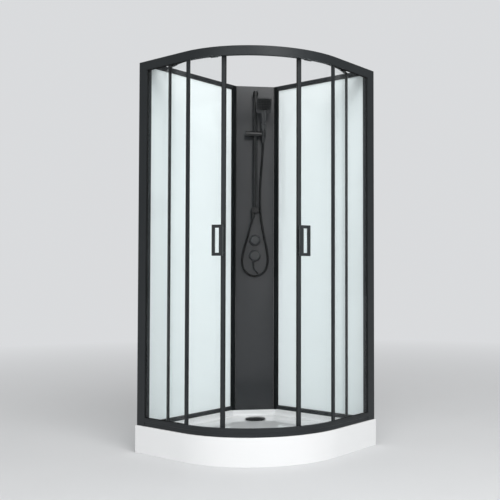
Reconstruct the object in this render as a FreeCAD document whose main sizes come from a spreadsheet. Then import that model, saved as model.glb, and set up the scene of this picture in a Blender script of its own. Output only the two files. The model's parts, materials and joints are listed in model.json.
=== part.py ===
import FreeCAD, Part
import math
import os
import Sketcher
from types import SimpleNamespace

# Quadrant corner shower cabin with a round front: shower tray, framed glazing, two curved
# sliding doors, pale back panels, and a dark corner column that carries the mixer, the riser
# rail and the hand shower. Millimetres, +Z up, origin on the floor under the tray's centre.
# The wall corner is at -X +Y and the round front corner at +X -Y.

SIZES = {
    # shower tray
    "tray_side": 900.0,
    "corner_radius": 550.0,
    "tray_height": 140.0,
    "tray_skin": 6.0,
    "rim_width": 62.0,
    "rim_depth": 18.0,
    "rim_round": 6.0,
    "ledge_width": 60.0,
    "ledge_drop": 10.0,
    "floor_level": 97.0,
    "floor_skin": 8.0,
    "floor_round": 14.0,
    "drain_distance": 330.0,
    "drain_hole_radius": 46.0,
    "drain_recess_radius": 60.0,
    "drain_recess_depth": 3.0,
    # tray support
    "bar_width": 30.0,
    "bar_height": 20.0,
    "bar_wall_gap": 50.0,
    "front_bar_inset": 250.0,
    "front_bar_end_inset": 200.0,
    "back_bar_inset": 80.0,
    "cross_bar_inset": 335.0,
    "middle_foot_inset": 365.0,
    "foot_margin": 30.0,
    "foot_radius": 22.0,
    "foot_height": 10.0,
    "stud_radius": 6.0,
    # waste
    "flange_radius": 56.0,
    "waste_radius": 44.0,
    "waste_skin": 3.0,
    "trap_bottom": 22.0,
    "outlet_level": 46.0,
    "outlet_radius": 20.0,
    "outlet_skin": 2.5,
    "outlet_reach": 185.0,
    "outlet_collar_radius": 23.0,
    "outlet_collar_reach": 62.0,
    "cover_radius": 57.0,
    "cover_skin": 3.0,
    "cover_crown": 8.0,
    "cover_foot_height": 3.5,
    "cover_foot_radius": 4.0,
    # frame
    "cabin_height": 2037.0,
    "rail_inset": 8.0,
    "profile_width": 62.0,
    "profile_depth": 34.0,
    "profile_skin": 2.0,
    "profile_wall_gap": 4.0,
    "profile_chamber": 36.0,
    "glass_seat": 10.0,
    "channel_fit": 0.5,
    "channel_skin": 1.5,
    "channel_reach": 32.0,
    "wall_screw_radius": 3.0,
    "wall_screw_margin": 260.0,
    "fixed_glass": 6.0,
    "fixed_glass_inset": 13.0,
    "glass_fit": 0.5,
    "top_rail_height": 46.0,
    "top_rail_skin": 3.0,
    "top_flange_width": 58.0,
    "rail_block_depth": 18.0,
    "rail_block_height": 12.0,
    "bottom_rail_height": 42.0,
    "bottom_wall": 16.0,
    "bottom_step": 2.0,
    "bottom_step_height": 20.0,
    "guide_ledge_width": 28.0,
    "guide_ledge_height": 9.0,
    "guide_groove_width": 8.0,
    "guide_groove_depth": 5.0,
    "post_width": 16.5,
    "post_depth": 12.0,
    "post_inset": 10.0,
    "post_past_tangent": 18.0,
    # door track and doors
    "track_inset": 62.0,
    "track_height": 29.0,
    "track_web": 4.0,
    "track_lip": 14.5,
    "track_lip_skin": 3.0,
    "track_sweep": 160.0,
    "door_inset": 40.0,
    "door_glass": 6.0,
    "door_bottom_gap": 18.0,
    "door_top_gap": 33.0,
    "door_width": 387.6,
    "left_lead": 193.7,
    "right_lead": 184.6,
    "stile_width": 18.0,
    "stile_depth": 14.0,
    "stile_foot_gap": 16.0,
    "stile_head_gap": 35.0,
    "stile_round": 2.5,
    "seal_width": 10.0,
    "seal_reach": 2.5,
    "seal_end_margin": 6.0,
    "handle_level": 1088.0,
    "handle_height": 151.0,
    "handle_width": 56.5,
    "handle_depth": 14.0,
    "handle_slot_height": 121.0,
    "handle_slot_width": 24.2,
    "handle_outer_bar": 13.4,
    "handle_round": 1.5,
    "handle_edge_round": 1.2,
    "handle_standoff": 18.0,
    "handle_boss_radius": 5.0,
    "handle_boss_spread": 120.0,
    "handle_lap": 1.5,
    "hanger_skin": 3.0,
    "hanger_fit": 0.3,
    "hanger_jaw": 10.0,
    "hanger_width": 41.0,
    "hanger_inset": 53.4,
    "hanger_head_gap": 9.0,
    "roller_radius": 11.0,
    "roller_width": 6.0,
    "roller_side_gap": 1.5,
    "roller_track_gap": 0.3,
    "axle_radius": 3.0,
    "axle_fit": 0.05,
    "axle_head_radius": 5.5,
    "axle_head": 1.8,
    "axle_end_gap": 0.6,
    "guide_width": 30.3,
    "guide_inset": 39.2,
    "guide_jaw": 16.0,
    "guide_foot": 5.0,
    "guide_fin_width": 5.0,
    "guide_fin_gap": 1.0,
    # back panels and corner posts
    "back_rail_height": 22.0,
    "back_rail_depth": 24.0,
    "back_glass": 5.0,
    "back_glass_setback": 9.5,
    "corner_post_depth": 26.0,
    "corner_post_width": 27.0,
    "corner_post_reach": 245.0,
    # column
    "column_proud": 1.5,
    "column_fit": 0.5,
    "column_sheet": 3.0,
    "column_return": 48.0,
    "column_margin": 9.0,
    "upper_knob_level": 1122.0,
    "lower_knob_level": 1031.0,
    "upper_knob_radius": 28.5,
    "lower_knob_radius": 31.0,
    "knob_length": 40.0,
    "knob_round": 5.0,
    "knob_dome": 12.0,
    "knob_bore_depth": 22.0,
    "escutcheon_radius": 34.0,
    "escutcheon_height": 6.0,
    "escutcheon_bore": 12.0,
    "knob_gap": 1.0,
    "spindle_radius": 8.0,
    "spindle_fit": 0.05,
    "lever_radius": 3.5,
    "lever_setback": 12.0,
    "lever_side": -7.0,
    "lever_drop": 44.0,
    "lever_bend_side": 25.0,
    "lever_bend_drop": 30.0,
    "mixer_radius": 18.0,
    "mixer_setback": 31.0,
    "mixer_overhang": 46.0,
    "mixer_flange_radius": 21.0,
    "inlet_radius": 10.4,
    "inlet_length": 30.0,
    "inlet_spread": 56.0,
    "inlet_arm_height": 22.0,
    "feed_radius": 7.0,
    # riser rail and hand shower
    "riser_radius": 12.5,
    "riser_standoff": 52.0,
    "riser_bottom": 1298.0,
    "riser_top_drop": 42.0,
    "bracket_drop": 16.0,
    "bracket_height": 20.0,
    "bracket_radius": 15.5,
    "bracket_arm_radius": 9.0,
    "bracket_rose_radius": 16.0,
    "bracket_rose": 5.0,
    "foot_block_width": 44.0,
    "foot_block_depth": 36.0,
    "foot_block_height": 28.0,
    "foot_block_round": 5.0,
    "foot_socket_depth": 13.0,
    "nipple_side": 12.0,
    "nipple_setback": 14.0,
    "nipple_radius": 9.5,
    "nipple_length": 10.0,
    "slider_level": 1743.0,
    "slider_radius": 17.0,
    "slider_left": 28.0,
    "slider_right": 24.0,
    "slider_fit": 0.05,
    "knob_tip": 60.0,
    "slider_knob_gap": 0.4,
    "slider_stub_radius": 5.0,
    "slider_stub": 8.0,
    "holder_neck_radius": 14.0,
    "holder_side": 46.0,
    "holder_radius": 16.5,
    "holder_height": 36.0,
    "holder_slot": 15.0,
    "handset_tilt": 18.0,
    "handset_fit": 0.3,
    "cone_top_radius": 13.0,
    "cone_bottom_radius": 10.5,
    "nut_radius": 10.4,
    "nut_drop": 45.0,
    "nut_length": 20.0,
    "collar_radius": 16.5,
    "collar_height": 4.0,
    "grip_bottom_radius": 12.5,
    "grip_top_radius": 14.5,
    "grip_top": 142.0,
    "head_side": 88.0,
    "head_thickness": 15.0,
    "head_level": 168.0,
    "head_tilt": 12.0,
    "head_round": 9.0,
    "spray_width": 76.0,
    "spray_height": 62.0,
    "spray_thickness": 2.0,
    "spray_rise": 9.0,
    "hose_radius": 6.5,
    "hose_lead": 18.0,
    "hose_tail": 20.0,
    # shared
    "overrun": 10.0,
}


class Size:
    """A length that carries its value and the spreadsheet expression it comes from."""

    def __init__(self, value, text):
        self.value = float(value)
        self.text = text

    @staticmethod
    def of(item):
        if isinstance(item, Size):
            return item
        return Size(item, repr(float(item)))

    def __add__(self, other):
        other = Size.of(other)
        return Size(self.value + other.value, f"({self.text} + {other.text})")

    def __radd__(self, other):
        return Size.of(other) + self

    def __sub__(self, other):
        other = Size.of(other)
        return Size(self.value - other.value, f"({self.text} - {other.text})")

    def __rsub__(self, other):
        return Size.of(other) - self

    def __mul__(self, other):
        other = Size.of(other)
        return Size(self.value * other.value, f"({self.text} * {other.text})")

    def __rmul__(self, other):
        return Size.of(other) * self

    def __truediv__(self, other):
        other = Size.of(other)
        return Size(self.value / other.value, f"({self.text} / {other.text})")

    def __neg__(self):
        return Size(-self.value, f"(0 - {self.text})")


doc = FreeCAD.newDocument("ShowerCabin")
sheet = doc.addObject("Spreadsheet::Sheet", "Sizes")
S = SimpleNamespace()
for row, (size_name, size_value) in enumerate(SIZES.items(), start=1):
    sheet.set(f"A{row}", size_name)
    sheet.set(f"B{row}", str(size_value))
    sheet.setAlias(f"B{row}", size_name)
    setattr(S, size_name, Size(size_value, f"Sizes.{size_name}"))
doc.recompute()

ZERO = Size(0, "0")
HALF_SHARE = 0.5
DIAGONAL_SHARE = math.sqrt(HALF_SHARE)
FULL_TURN = 360.0
QUARTER_TURN = 90.0
EIGHTH_TURN = 45.0
SIDES = {"left": -1, "right": 1}
NODES = []

# Places that several pieces share.
half = S.tray_side * HALF_SHARE
arc_x = half - S.corner_radius
arc_y = S.corner_radius - half
straight_run = S.tray_side - S.corner_radius - S.profile_width
ledge_level = S.tray_height - S.ledge_drop
bottom_rail_top = S.tray_height + S.bottom_rail_height
top_rail_bottom = S.cabin_height - S.top_rail_height
corner_near = S.corner_post_reach - S.corner_post_width
column_front = (S.ledge_width + corner_near) * DIAGONAL_SHARE + S.column_proud
column_half = (corner_near - S.ledge_width) * DIAGONAL_SHARE - S.column_fit
riser_out = column_front + S.riser_standoff
riser_top = S.cabin_height - S.riser_top_drop
door_radius = S.corner_radius - S.door_inset
door_outer = door_radius + S.door_glass * HALF_SHARE
door_inner = door_radius - S.door_glass * HALF_SHARE
flange_under = S.cabin_height - S.top_rail_skin
track_inner = S.corner_radius - S.track_inset
track_bottom = flange_under - S.track_height
drain_x = S.drain_distance * DIAGONAL_SHARE - half
drain_y = half - S.drain_distance * DIAGONAL_SHARE


def at(inset):
    """Radius about the front arc's centre of a line set in from the tray's outline."""
    return S.corner_radius - inset


def plan(side, from_wall, inset):
    """Plan point of one side, from its own wall and from the tray's outline."""
    if side == "left":
        return (from_wall - half, inset - half)
    return (half - inset, half - from_wall)


def back_plan(side, from_wall, along):
    """Plan point beside a back wall, along it from the wall corner."""
    if side == "left":
        return (from_wall - half, half - along)
    return (along - half, half - from_wall)


def door_angle(length):
    """Angle in degrees that a length along the door's curve covers."""
    return length / door_radius * math.degrees(1)


def bind(item, **sizes):
    """Bind properties of a feature to spreadsheet expressions."""
    for name, size in sizes.items():
        item.setExpression(name, Size.of(size).text)


def new_body(label, x=ZERO, y=ZERO, z=ZERO, turn=0.0, tilt=0.0):
    """Body whose local frame stands at x, y, z, turned about Z and then tilted about its X."""
    body = doc.addObject("PartDesign::Body", label)
    body.Label = label
    about_z = FreeCAD.Rotation(FreeCAD.Vector(0, 0, 1), turn)
    about_x = FreeCAD.Rotation(FreeCAD.Vector(1, 0, 0), tilt)
    base = FreeCAD.Vector(x.value, y.value, z.value)
    body.Placement = FreeCAD.Placement(base, about_z.multiply(about_x))
    for axis, size in zip("xyz", (x, y, z)):
        body.setExpression(f"Placement.Base.{axis}", size.text)
    NODES.append(body)
    return body


def arc_body(label, angle):
    """Body about the front arc's centre; its X axis points at the given angle off the diagonal."""
    return new_body(label, arc_x, arc_y, ZERO, turn=angle - EIGHTH_TURN)


def column_body(label, side=ZERO, out=ZERO, level=ZERO, tilt=0.0):
    """Body before the corner column: X to the right, -Y away from the wall corner."""
    x = (out + side) * DIAGONAL_SHARE - half
    y = half + (side - out) * DIAGONAL_SHARE
    return new_body(label, x, y, level, turn=EIGHTH_TURN, tilt=tilt)


def sketch_on(body, role, offset=ZERO, turn=0.0):
    """Sketch on one of the body's origin planes, offset along and turned about its own axes."""
    plane = [item for item in body.Origin.OriginFeatures if item.Role == role][0]
    sketch = body.newObject("Sketcher::SketchObject", f"{body.Label}_sketch")
    sketch.AttachmentSupport = (plane, [""])
    sketch.MapMode = "FlatFace"
    rotation = FreeCAD.Rotation(FreeCAD.Vector(0, 1, 0), turn)
    sketch.AttachmentOffset = FreeCAD.Placement(FreeCAD.Vector(0, 0, offset.value), rotation)
    sketch.setExpression("AttachmentOffset.Base.z", offset.text)
    return sketch


def fix(sketch, kind, size, *where):
    """Add one driving dimension and bind it to its expression."""
    index = sketch.addConstraint(Sketcher.Constraint(kind, *where, size.value))
    sketch.setExpression(f"Constraints[{index}]", size.text)


def outline(sketch, points, arcs=None):
    """Closed outline through points, counter-clockwise; arcs maps a point's index to the radius
    and centre of the arc that starts there."""
    arcs = arcs or {}
    points = [(Size.of(x), Size.of(y)) for x, y in points]
    spots = [FreeCAD.Vector(x.value, y.value, 0) for x, y in points]
    first = len(sketch.Geometry)
    count = len(points)
    for index, spot in enumerate(spots):
        after = spots[(index + 1) % count]
        if index in arcs:
            radius, cx, cy = arcs[index]
            centre = FreeCAD.Vector(Size.of(cx).value, Size.of(cy).value, 0)
            circle = Part.Circle(centre, FreeCAD.Vector(0, 0, 1), radius.value)
            start = math.atan2(spot.y - centre.y, spot.x - centre.x)
            end = math.atan2(after.y - centre.y, after.x - centre.x)
            sketch.addGeometry(Part.ArcOfCircle(circle, start, end))
        else:
            sketch.addGeometry(Part.LineSegment(spot, after))
    for index in range(count):
        after = first + (index + 1) % count
        sketch.addConstraint(Sketcher.Constraint("Coincident", first + index, 2, after, 1))
    for index, (x, y) in enumerate(points):
        fix(sketch, "DistanceX", x, first + index, 1)
        fix(sketch, "DistanceY", y, first + index, 1)
    for index, (radius, cx, cy) in arcs.items():
        fix(sketch, "Radius", radius, first + index)


def box_outline(sketch, x0, y0, x1, y1):
    """Rectangle between two corners given in any order."""
    x0, x1 = sorted((Size.of(x0), Size.of(x1)), key=lambda size: size.value)
    y0, y1 = sorted((Size.of(y0), Size.of(y1)), key=lambda size: size.value)
    outline(sketch, [(x0, y0), (x1, y0), (x1, y1), (x0, y1)])


def circle(sketch, x, y, radius):
    """Circle with its centre and radius bound."""
    x, y = Size.of(x), Size.of(y)
    centre = FreeCAD.Vector(x.value, y.value, 0)
    index = sketch.addGeometry(Part.Circle(centre, FreeCAD.Vector(0, 0, 1), radius.value))
    fix(sketch, "DistanceX", x, index, 3)
    fix(sketch, "DistanceY", y, index, 3)
    fix(sketch, "Radius", radius, index)


def pad(body, sketch, length, back=False, both=False):
    """Pad a sketch by a bound length, against its normal or to both sides if asked."""
    feature = body.newObject("PartDesign::Pad", f"{body.Label}_pad")
    feature.Profile = sketch
    if both:
        feature.SideType = "Symmetric"
    feature.Reversed = back
    bind(feature, Length=length)
    return feature


def pocket(body, sketch, length, back=False, both=False):
    """Pocket a sketch by a bound length, with its normal if back is set."""
    feature = body.newObject("PartDesign::Pocket", f"{body.Label}_pocket")
    feature.Profile = sketch
    if both:
        feature.SideType = "Symmetric"
    feature.Reversed = back
    bind(feature, Length=length)
    return feature


def revolve(body, sketch, angle=FULL_TURN, axis="V_Axis"):
    """Turn a sketch about one of its axes, evenly to both sides of its plane."""
    feature = body.newObject("PartDesign::Revolution", f"{body.Label}_turn")
    feature.Profile = sketch
    feature.ReferenceAxis = (sketch, [axis])
    feature.Midplane = True
    bind(feature, Angle=angle)
    return feature


def round_edges(body, radius, wanted):
    """Fillet the edges of the body's last feature that the test picks out."""
    doc.recompute()
    base = body.Tip
    picked = []
    for index, edge in enumerate(base.Shape.Edges, start=1):
        if wanted(edge):
            picked.append(f"Edge{index}")
    feature = body.newObject("PartDesign::Fillet", f"{body.Label}_round")
    feature.Base = (base, picked)
    bind(feature, Radius=radius)
    return feature


def close(value, size):
    """True where a coordinate lies on a size."""
    tolerance_share = 1e-6
    return abs(value - Size.of(size).value) < tolerance_share * S.tray_side.value


def edge_at(edge, **levels):
    """True where both ends of an edge have the given coordinates."""
    return all(
        close(getattr(vertex.Point, axis), level)
        for vertex in edge.Vertexes
        for axis, level in levels.items()
    )


def upright(edge):
    """True for a straight edge along Z."""
    ends = [vertex.Point for vertex in edge.Vertexes]
    return len(ends) == 2 and close((ends[0] - ends[1]).cross(FreeCAD.Vector(0, 0, 1)).Length, 0)


# Shower tray and what carries and drains it.


def tray_outline(sketch, front, back, open_back=ZERO):
    """Tray outline set in by front at the apron sides, and by back at the wall sides."""
    low_x = back - half - open_back
    high_y = half - back + open_back
    low_y = front - half
    high_x = half - front
    points = [(low_x, low_y), (arc_x, low_y), (high_x, arc_y), (high_x, high_y), (low_x, high_y)]
    outline(sketch, points, {1: (at(front), arc_x, arc_y)})


def basin_outline(sketch, grow):
    """Outline of the basin, with the wall corner cut off before the column."""
    front = S.rim_width - grow
    back = S.ledge_width - grow
    cut = (column_front + S.column_margin - grow) / DIAGONAL_SHARE - back
    points = [
        (back - half, half - cut),
        (back - half, front - half),
        (arc_x, front - half),
        (half - front, arc_y),
        (half - front, half - back),
        (cut - half, half - back),
    ]
    outline(sketch, points, {2: (at(front), arc_x, arc_y)})


def make_tray():
    body = new_body("shower_tray")
    sketch = sketch_on(body, "XY_Plane")
    tray_outline(sketch, ZERO, ZERO)
    pad(body, sketch, S.tray_height)

    sketch = sketch_on(body, "XY_Plane", S.tray_height)
    basin_outline(sketch, ZERO)
    pocket(body, sketch, S.tray_height - S.floor_level)

    # Lowered ledge along both walls for the back panels and the column.
    reach = S.rail_inset + S.profile_depth
    cut = (column_front + S.column_margin) / DIAGONAL_SHARE - S.ledge_width
    sketch = sketch_on(body, "XY_Plane", S.tray_height)
    points = [
        (-half - S.overrun, reach - half),
        (S.ledge_width - half, reach - half),
        (S.ledge_width - half, half - cut),
        (cut - half, half - S.ledge_width),
        (half - reach, half - S.ledge_width),
        (half - reach, half + S.overrun),
        (-half - S.overrun, half + S.overrun),
    ]
    outline(sketch, points)
    pocket(body, sketch, S.ledge_drop)

    # Hollow underside, open towards both walls.
    sketch = sketch_on(body, "XY_Plane")
    tray_outline(sketch, S.tray_skin, ZERO, S.overrun)
    pocket(body, sketch, S.floor_level - S.floor_skin, back=True)
    sketch = sketch_on(body, "XY_Plane")
    tray_outline(sketch, S.tray_skin, ZERO, S.overrun)
    basin_outline(sketch, S.tray_skin)
    pocket(body, sketch, S.tray_height - S.rim_depth, back=True)

    sketch = sketch_on(body, "XY_Plane", S.floor_level)
    circle(sketch, drain_x, drain_y, S.drain_recess_radius)
    pocket(body, sketch, S.drain_recess_depth)
    sketch = sketch_on(body, "XY_Plane", S.floor_level)
    circle(sketch, drain_x, drain_y, S.drain_hole_radius)
    pocket(body, sketch, S.floor_skin + S.overrun)

    def apron_top(edge):
        middle = edge.CenterOfMass
        on_front = close(middle.y, -half) or close(middle.x, half)
        on_arc = edge.Curve.TypeId == "Part::GeomCircle" and close(edge.Curve.Radius, S.corner_radius)
        return edge_at(edge, z=S.tray_height) and (on_front or on_arc)

    def basin_foot(edge):
        drain = edge.Curve.TypeId == "Part::GeomCircle" and close(edge.Curve.Radius, S.drain_recess_radius)
        return edge_at(edge, z=S.floor_level) and not drain

    round_edges(body, S.rim_round, apron_top)
    round_edges(body, S.floor_round, basin_foot)


def make_support():
    bar_top = S.floor_level - S.floor_skin
    bar_half = S.bar_width * HALF_SHARE
    bar_start = S.bar_wall_gap - half
    front_bar = S.front_bar_inset - half
    front_bar_end = half - S.front_bar_end_inset
    back_bar = half - S.back_bar_inset
    cross_bar = half - S.cross_bar_inset
    body = new_body("support_frame")
    sketch = sketch_on(body, "XY_Plane", bar_top)
    box_outline(
        sketch, cross_bar - bar_half, front_bar - bar_half, cross_bar + bar_half, back_bar + bar_half,
    )
    pad(body, sketch, S.bar_height, back=True)
    for level, end in ((front_bar, front_bar_end), (back_bar, cross_bar)):
        sketch = sketch_on(body, "XY_Plane", bar_top)
        box_outline(sketch, bar_start, level - bar_half, end, level + bar_half)
        pad(body, sketch, S.bar_height, back=True)

    spots = [
        (bar_start + S.foot_margin, front_bar),
        (front_bar_end - S.foot_margin, front_bar),
        (bar_start + S.foot_margin, back_bar),
        (cross_bar, back_bar),
        (cross_bar, half - S.middle_foot_inset),
    ]
    body = new_body("tray_feet")
    sketch = sketch_on(body, "XY_Plane")
    for x, y in spots:
        circle(sketch, x, y, S.foot_radius)
    pad(body, sketch, S.foot_height)
    sketch = sketch_on(body, "XY_Plane")
    for x, y in spots:
        circle(sketch, x, y, S.stud_radius)
    pad(body, sketch, bar_top - S.bar_height)


def make_waste():
    # Waste body: flange in the tray's recess, clamped cup under the floor, spigot to the wall.
    body = new_body("waste_trap", drain_x, drain_y)
    sketch = sketch_on(body, "XZ_Plane")
    recess = S.floor_level - S.drain_recess_depth
    inner = S.waste_radius - S.waste_skin
    outline(sketch, [
        (ZERO, S.trap_bottom),
        (S.waste_radius, S.trap_bottom),
        (S.waste_radius, recess),
        (S.flange_radius, recess),
        (S.flange_radius, S.floor_level),
        (ZERO, S.floor_level),
    ])
    revolve(body, sketch)
    for reach, radius in (
        (S.outlet_collar_reach, S.outlet_collar_radius),
        (S.outlet_reach, S.outlet_radius),
    ):
        sketch = sketch_on(body, "YZ_Plane")
        circle(sketch, ZERO, S.outlet_level, radius)
        pad(body, sketch, reach, back=True)
    sketch = sketch_on(body, "XY_Plane", S.trap_bottom + S.waste_skin)
    circle(sketch, ZERO, ZERO, inner)
    pocket(body, sketch, S.floor_level, back=True)
    sketch = sketch_on(body, "YZ_Plane")
    circle(sketch, ZERO, S.outlet_level, S.outlet_radius - S.outlet_skin)
    pocket(body, sketch, S.outlet_reach + S.overrun)

    # Domed cover that stands on the flange by three feet and lifts out.
    body = new_body("drain_cover", drain_x, drain_y, S.floor_level)
    low = S.cover_foot_height
    shoulder_share = 0.8
    shoulder = low + S.cover_crown * shoulder_share
    sketch = sketch_on(body, "XZ_Plane")
    outline(sketch, [
        (ZERO, low + S.cover_crown - S.cover_skin),
        (S.cover_radius * HALF_SHARE, shoulder - S.cover_skin),
        (S.cover_radius - S.cover_skin, low),
        (S.cover_radius, low),
        (S.cover_radius, low + S.cover_skin),
        (S.cover_radius * HALF_SHARE, shoulder),
        (ZERO, low + S.cover_crown),
    ])
    revolve(body, sketch)
    sketch = sketch_on(body, "XY_Plane")
    ring = S.flange_radius - S.cover_foot_radius - S.cover_foot_radius
    circle(sketch, ring, ZERO, S.cover_foot_radius)
    foot = pad(body, sketch, S.cover_foot_height + S.cover_skin * HALF_SHARE)
    pattern = body.newObject("PartDesign::PolarPattern", "drain_cover_feet")
    pattern.Originals = [foot]
    pattern.Axis = (sketch, ["N_Axis"])
    pattern.Angle = FULL_TURN
    pattern.Occurrences = 3
    body.Tip = pattern


# Front frame: wall profiles, rails, fixed panes and posts.


def make_wall_profiles():
    deep = S.rail_inset + S.profile_depth
    wall = S.profile_skin
    slot_low = S.fixed_glass_inset - S.glass_fit
    slot_high = S.fixed_glass_inset + S.fixed_glass + S.glass_fit
    seat = S.profile_width - S.glass_seat - S.glass_fit
    pane_high = S.ledge_width - S.back_glass_setback + S.glass_fit
    pane_low = pane_high - S.back_glass - S.glass_fit - S.glass_fit
    chamber = S.profile_wall_gap + S.profile_chamber
    points = [
        (S.profile_wall_gap, S.rail_inset),
        (S.profile_width, S.rail_inset),
        (S.profile_width, slot_low),
        (seat, slot_low),
        (seat, slot_high),
        (S.profile_width, slot_high),
        (S.profile_width, deep),
        (pane_high, deep),
        (pane_high, deep - S.glass_seat),
        (pane_low, deep - S.glass_seat),
        (pane_low, deep),
        (S.profile_wall_gap, deep),
        (S.profile_wall_gap, deep - wall),
        (chamber, deep - wall),
        (chamber, S.rail_inset + wall),
        (S.profile_wall_gap, S.rail_inset + wall),
    ]
    low = S.rail_inset + wall + S.channel_fit
    high = deep - wall - S.channel_fit
    channel = [
        (ZERO, low),
        (S.channel_reach, low),
        (S.channel_reach, low + S.channel_skin),
        (S.channel_skin, low + S.channel_skin),
        (S.channel_skin, high - S.channel_skin),
        (S.channel_reach, high - S.channel_skin),
        (S.channel_reach, high),
        (ZERO, high),
    ]
    for side in SIDES:
        body = new_body(f"{side}_wall_profile")
        sketch = sketch_on(body, "XY_Plane", S.tray_height)
        outline(sketch, [plan(side, a, b) for a, b in points])
        pad(body, sketch, S.cabin_height - S.tray_height)

        body = new_body(f"{side}_wall_channel")
        sketch = sketch_on(body, "XY_Plane", S.tray_height)
        outline(sketch, [plan(side, a, b) for a, b in channel])
        pad(body, sketch, S.cabin_height - S.tray_height)
        middle = (low + high) * HALF_SHARE
        role, across = ("YZ_Plane", middle - half) if side == "left" else ("XZ_Plane", half - middle)
        sketch = sketch_on(body, role)
        for level in (S.tray_height + S.wall_screw_margin, S.cabin_height - S.wall_screw_margin):
            circle(sketch, across, level, S.wall_screw_radius)
        pocket(body, sketch, half + S.overrun)


def rail_body(label, section):
    """Rail that follows the tray's front: an arc between two straight runs."""
    body = arc_body(label, 0.0)
    sketch = sketch_on(body, "XZ_Plane")
    outline(sketch, section)
    revolve(body, sketch, QUARTER_TURN)
    for sign in (-1, 1):
        # A sketch turned about its own vertical axis faces along the straight run.
        sketch = sketch_on(body, "XZ_Plane", turn=sign * EIGHTH_TURN)
        outline(sketch, section)
        pad(body, sketch, straight_run, back=sign > 0)
    return body


def make_rails():
    slot_out = at(S.fixed_glass_inset - S.glass_fit)
    slot_in = at(S.fixed_glass_inset + S.fixed_glass + S.glass_fit)
    front = at(S.rail_inset)
    low = top_rail_bottom
    block = at(S.rail_inset + S.rail_block_depth)
    skin = front - S.top_rail_skin
    rail_body("top_rail", [
        (block, low),
        (slot_in, low),
        (slot_in, low + S.glass_seat),
        (slot_out, low + S.glass_seat),
        (slot_out, low),
        (front, low),
        (front, S.cabin_height),
        (at(S.rail_inset + S.top_flange_width), S.cabin_height),
        (at(S.rail_inset + S.top_flange_width), flange_under),
        (skin, flange_under),
        (skin, low + S.rail_block_height),
        (block, low + S.rail_block_height),
    ])
    rim = S.tray_height
    wall = at(S.rail_inset + S.bottom_wall)
    ledge_in = wall - S.guide_ledge_width
    ledge_top = rim + S.guide_ledge_height
    groove_half = S.guide_groove_width * HALF_SHARE
    groove_floor = ledge_top - S.guide_groove_depth
    rail_body("bottom_rail", [
        (ledge_in, rim),
        (front - S.bottom_step, rim),
        (front - S.bottom_step, rim + S.bottom_step_height),
        (front, rim + S.bottom_step_height + S.bottom_step),
        (front, bottom_rail_top),
        (slot_out, bottom_rail_top),
        (slot_out, bottom_rail_top - S.glass_seat),
        (slot_in, bottom_rail_top - S.glass_seat),
        (slot_in, bottom_rail_top),
        (wall, bottom_rail_top),
        (wall, ledge_top),
        (door_radius + groove_half, ledge_top),
        (door_radius + groove_half, groove_floor),
        (door_radius - groove_half, groove_floor),
        (door_radius - groove_half, ledge_top),
        (ledge_in, ledge_top),
    ])
    body = arc_body("door_track", 0.0)
    sketch = sketch_on(body, "XZ_Plane")
    outline(sketch, [
        (track_inner, track_bottom),
        (track_inner + S.track_lip, track_bottom),
        (track_inner + S.track_lip, track_bottom + S.track_lip_skin),
        (track_inner + S.track_web, track_bottom + S.track_lip_skin),
        (track_inner + S.track_web, flange_under),
        (track_inner, flange_under),
    ])
    revolve(body, sketch, S.track_sweep)


def make_fixed_panels():
    tangent = S.tray_side - S.corner_radius
    post_end = tangent + S.post_past_tangent + S.post_width * HALF_SHARE
    post_start = post_end - S.post_width
    slot_low = S.fixed_glass_inset - S.glass_fit
    slot_high = S.fixed_glass_inset + S.fixed_glass + S.glass_fit
    post_in = S.post_inset + S.post_depth
    glass_bottom = bottom_rail_top - S.glass_seat
    glass_top = top_rail_bottom + S.glass_seat - S.glass_fit
    for side in SIDES:
        body = new_body(f"{side}_fixed_post")
        sketch = sketch_on(body, "XY_Plane", bottom_rail_top)
        points = [
            (post_start, S.post_inset),
            (post_end, S.post_inset),
            (post_end, post_in),
            (post_start, post_in),
            (post_start, slot_high),
            (post_start + S.glass_seat, slot_high),
            (post_start + S.glass_seat, slot_low),
            (post_start, slot_low),
        ]
        outline(sketch, [plan(side, a, b) for a, b in points])
        pad(body, sketch, top_rail_bottom - bottom_rail_top)

        body = new_body(f"{side}_fixed_glass")
        sketch = sketch_on(body, "XY_Plane", glass_bottom)
        near = plan(side, S.profile_width - S.glass_seat, S.fixed_glass_inset)
        far_inset = S.fixed_glass_inset + S.fixed_glass
        far = plan(side, post_start + S.glass_seat - S.glass_fit, far_inset)
        box_outline(sketch, near[0], near[1], far[0], far[1])
        pad(body, sketch, glass_top - glass_bottom)


# Doors: curved panes that swing about the front arc's centre on the hidden track.


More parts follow.
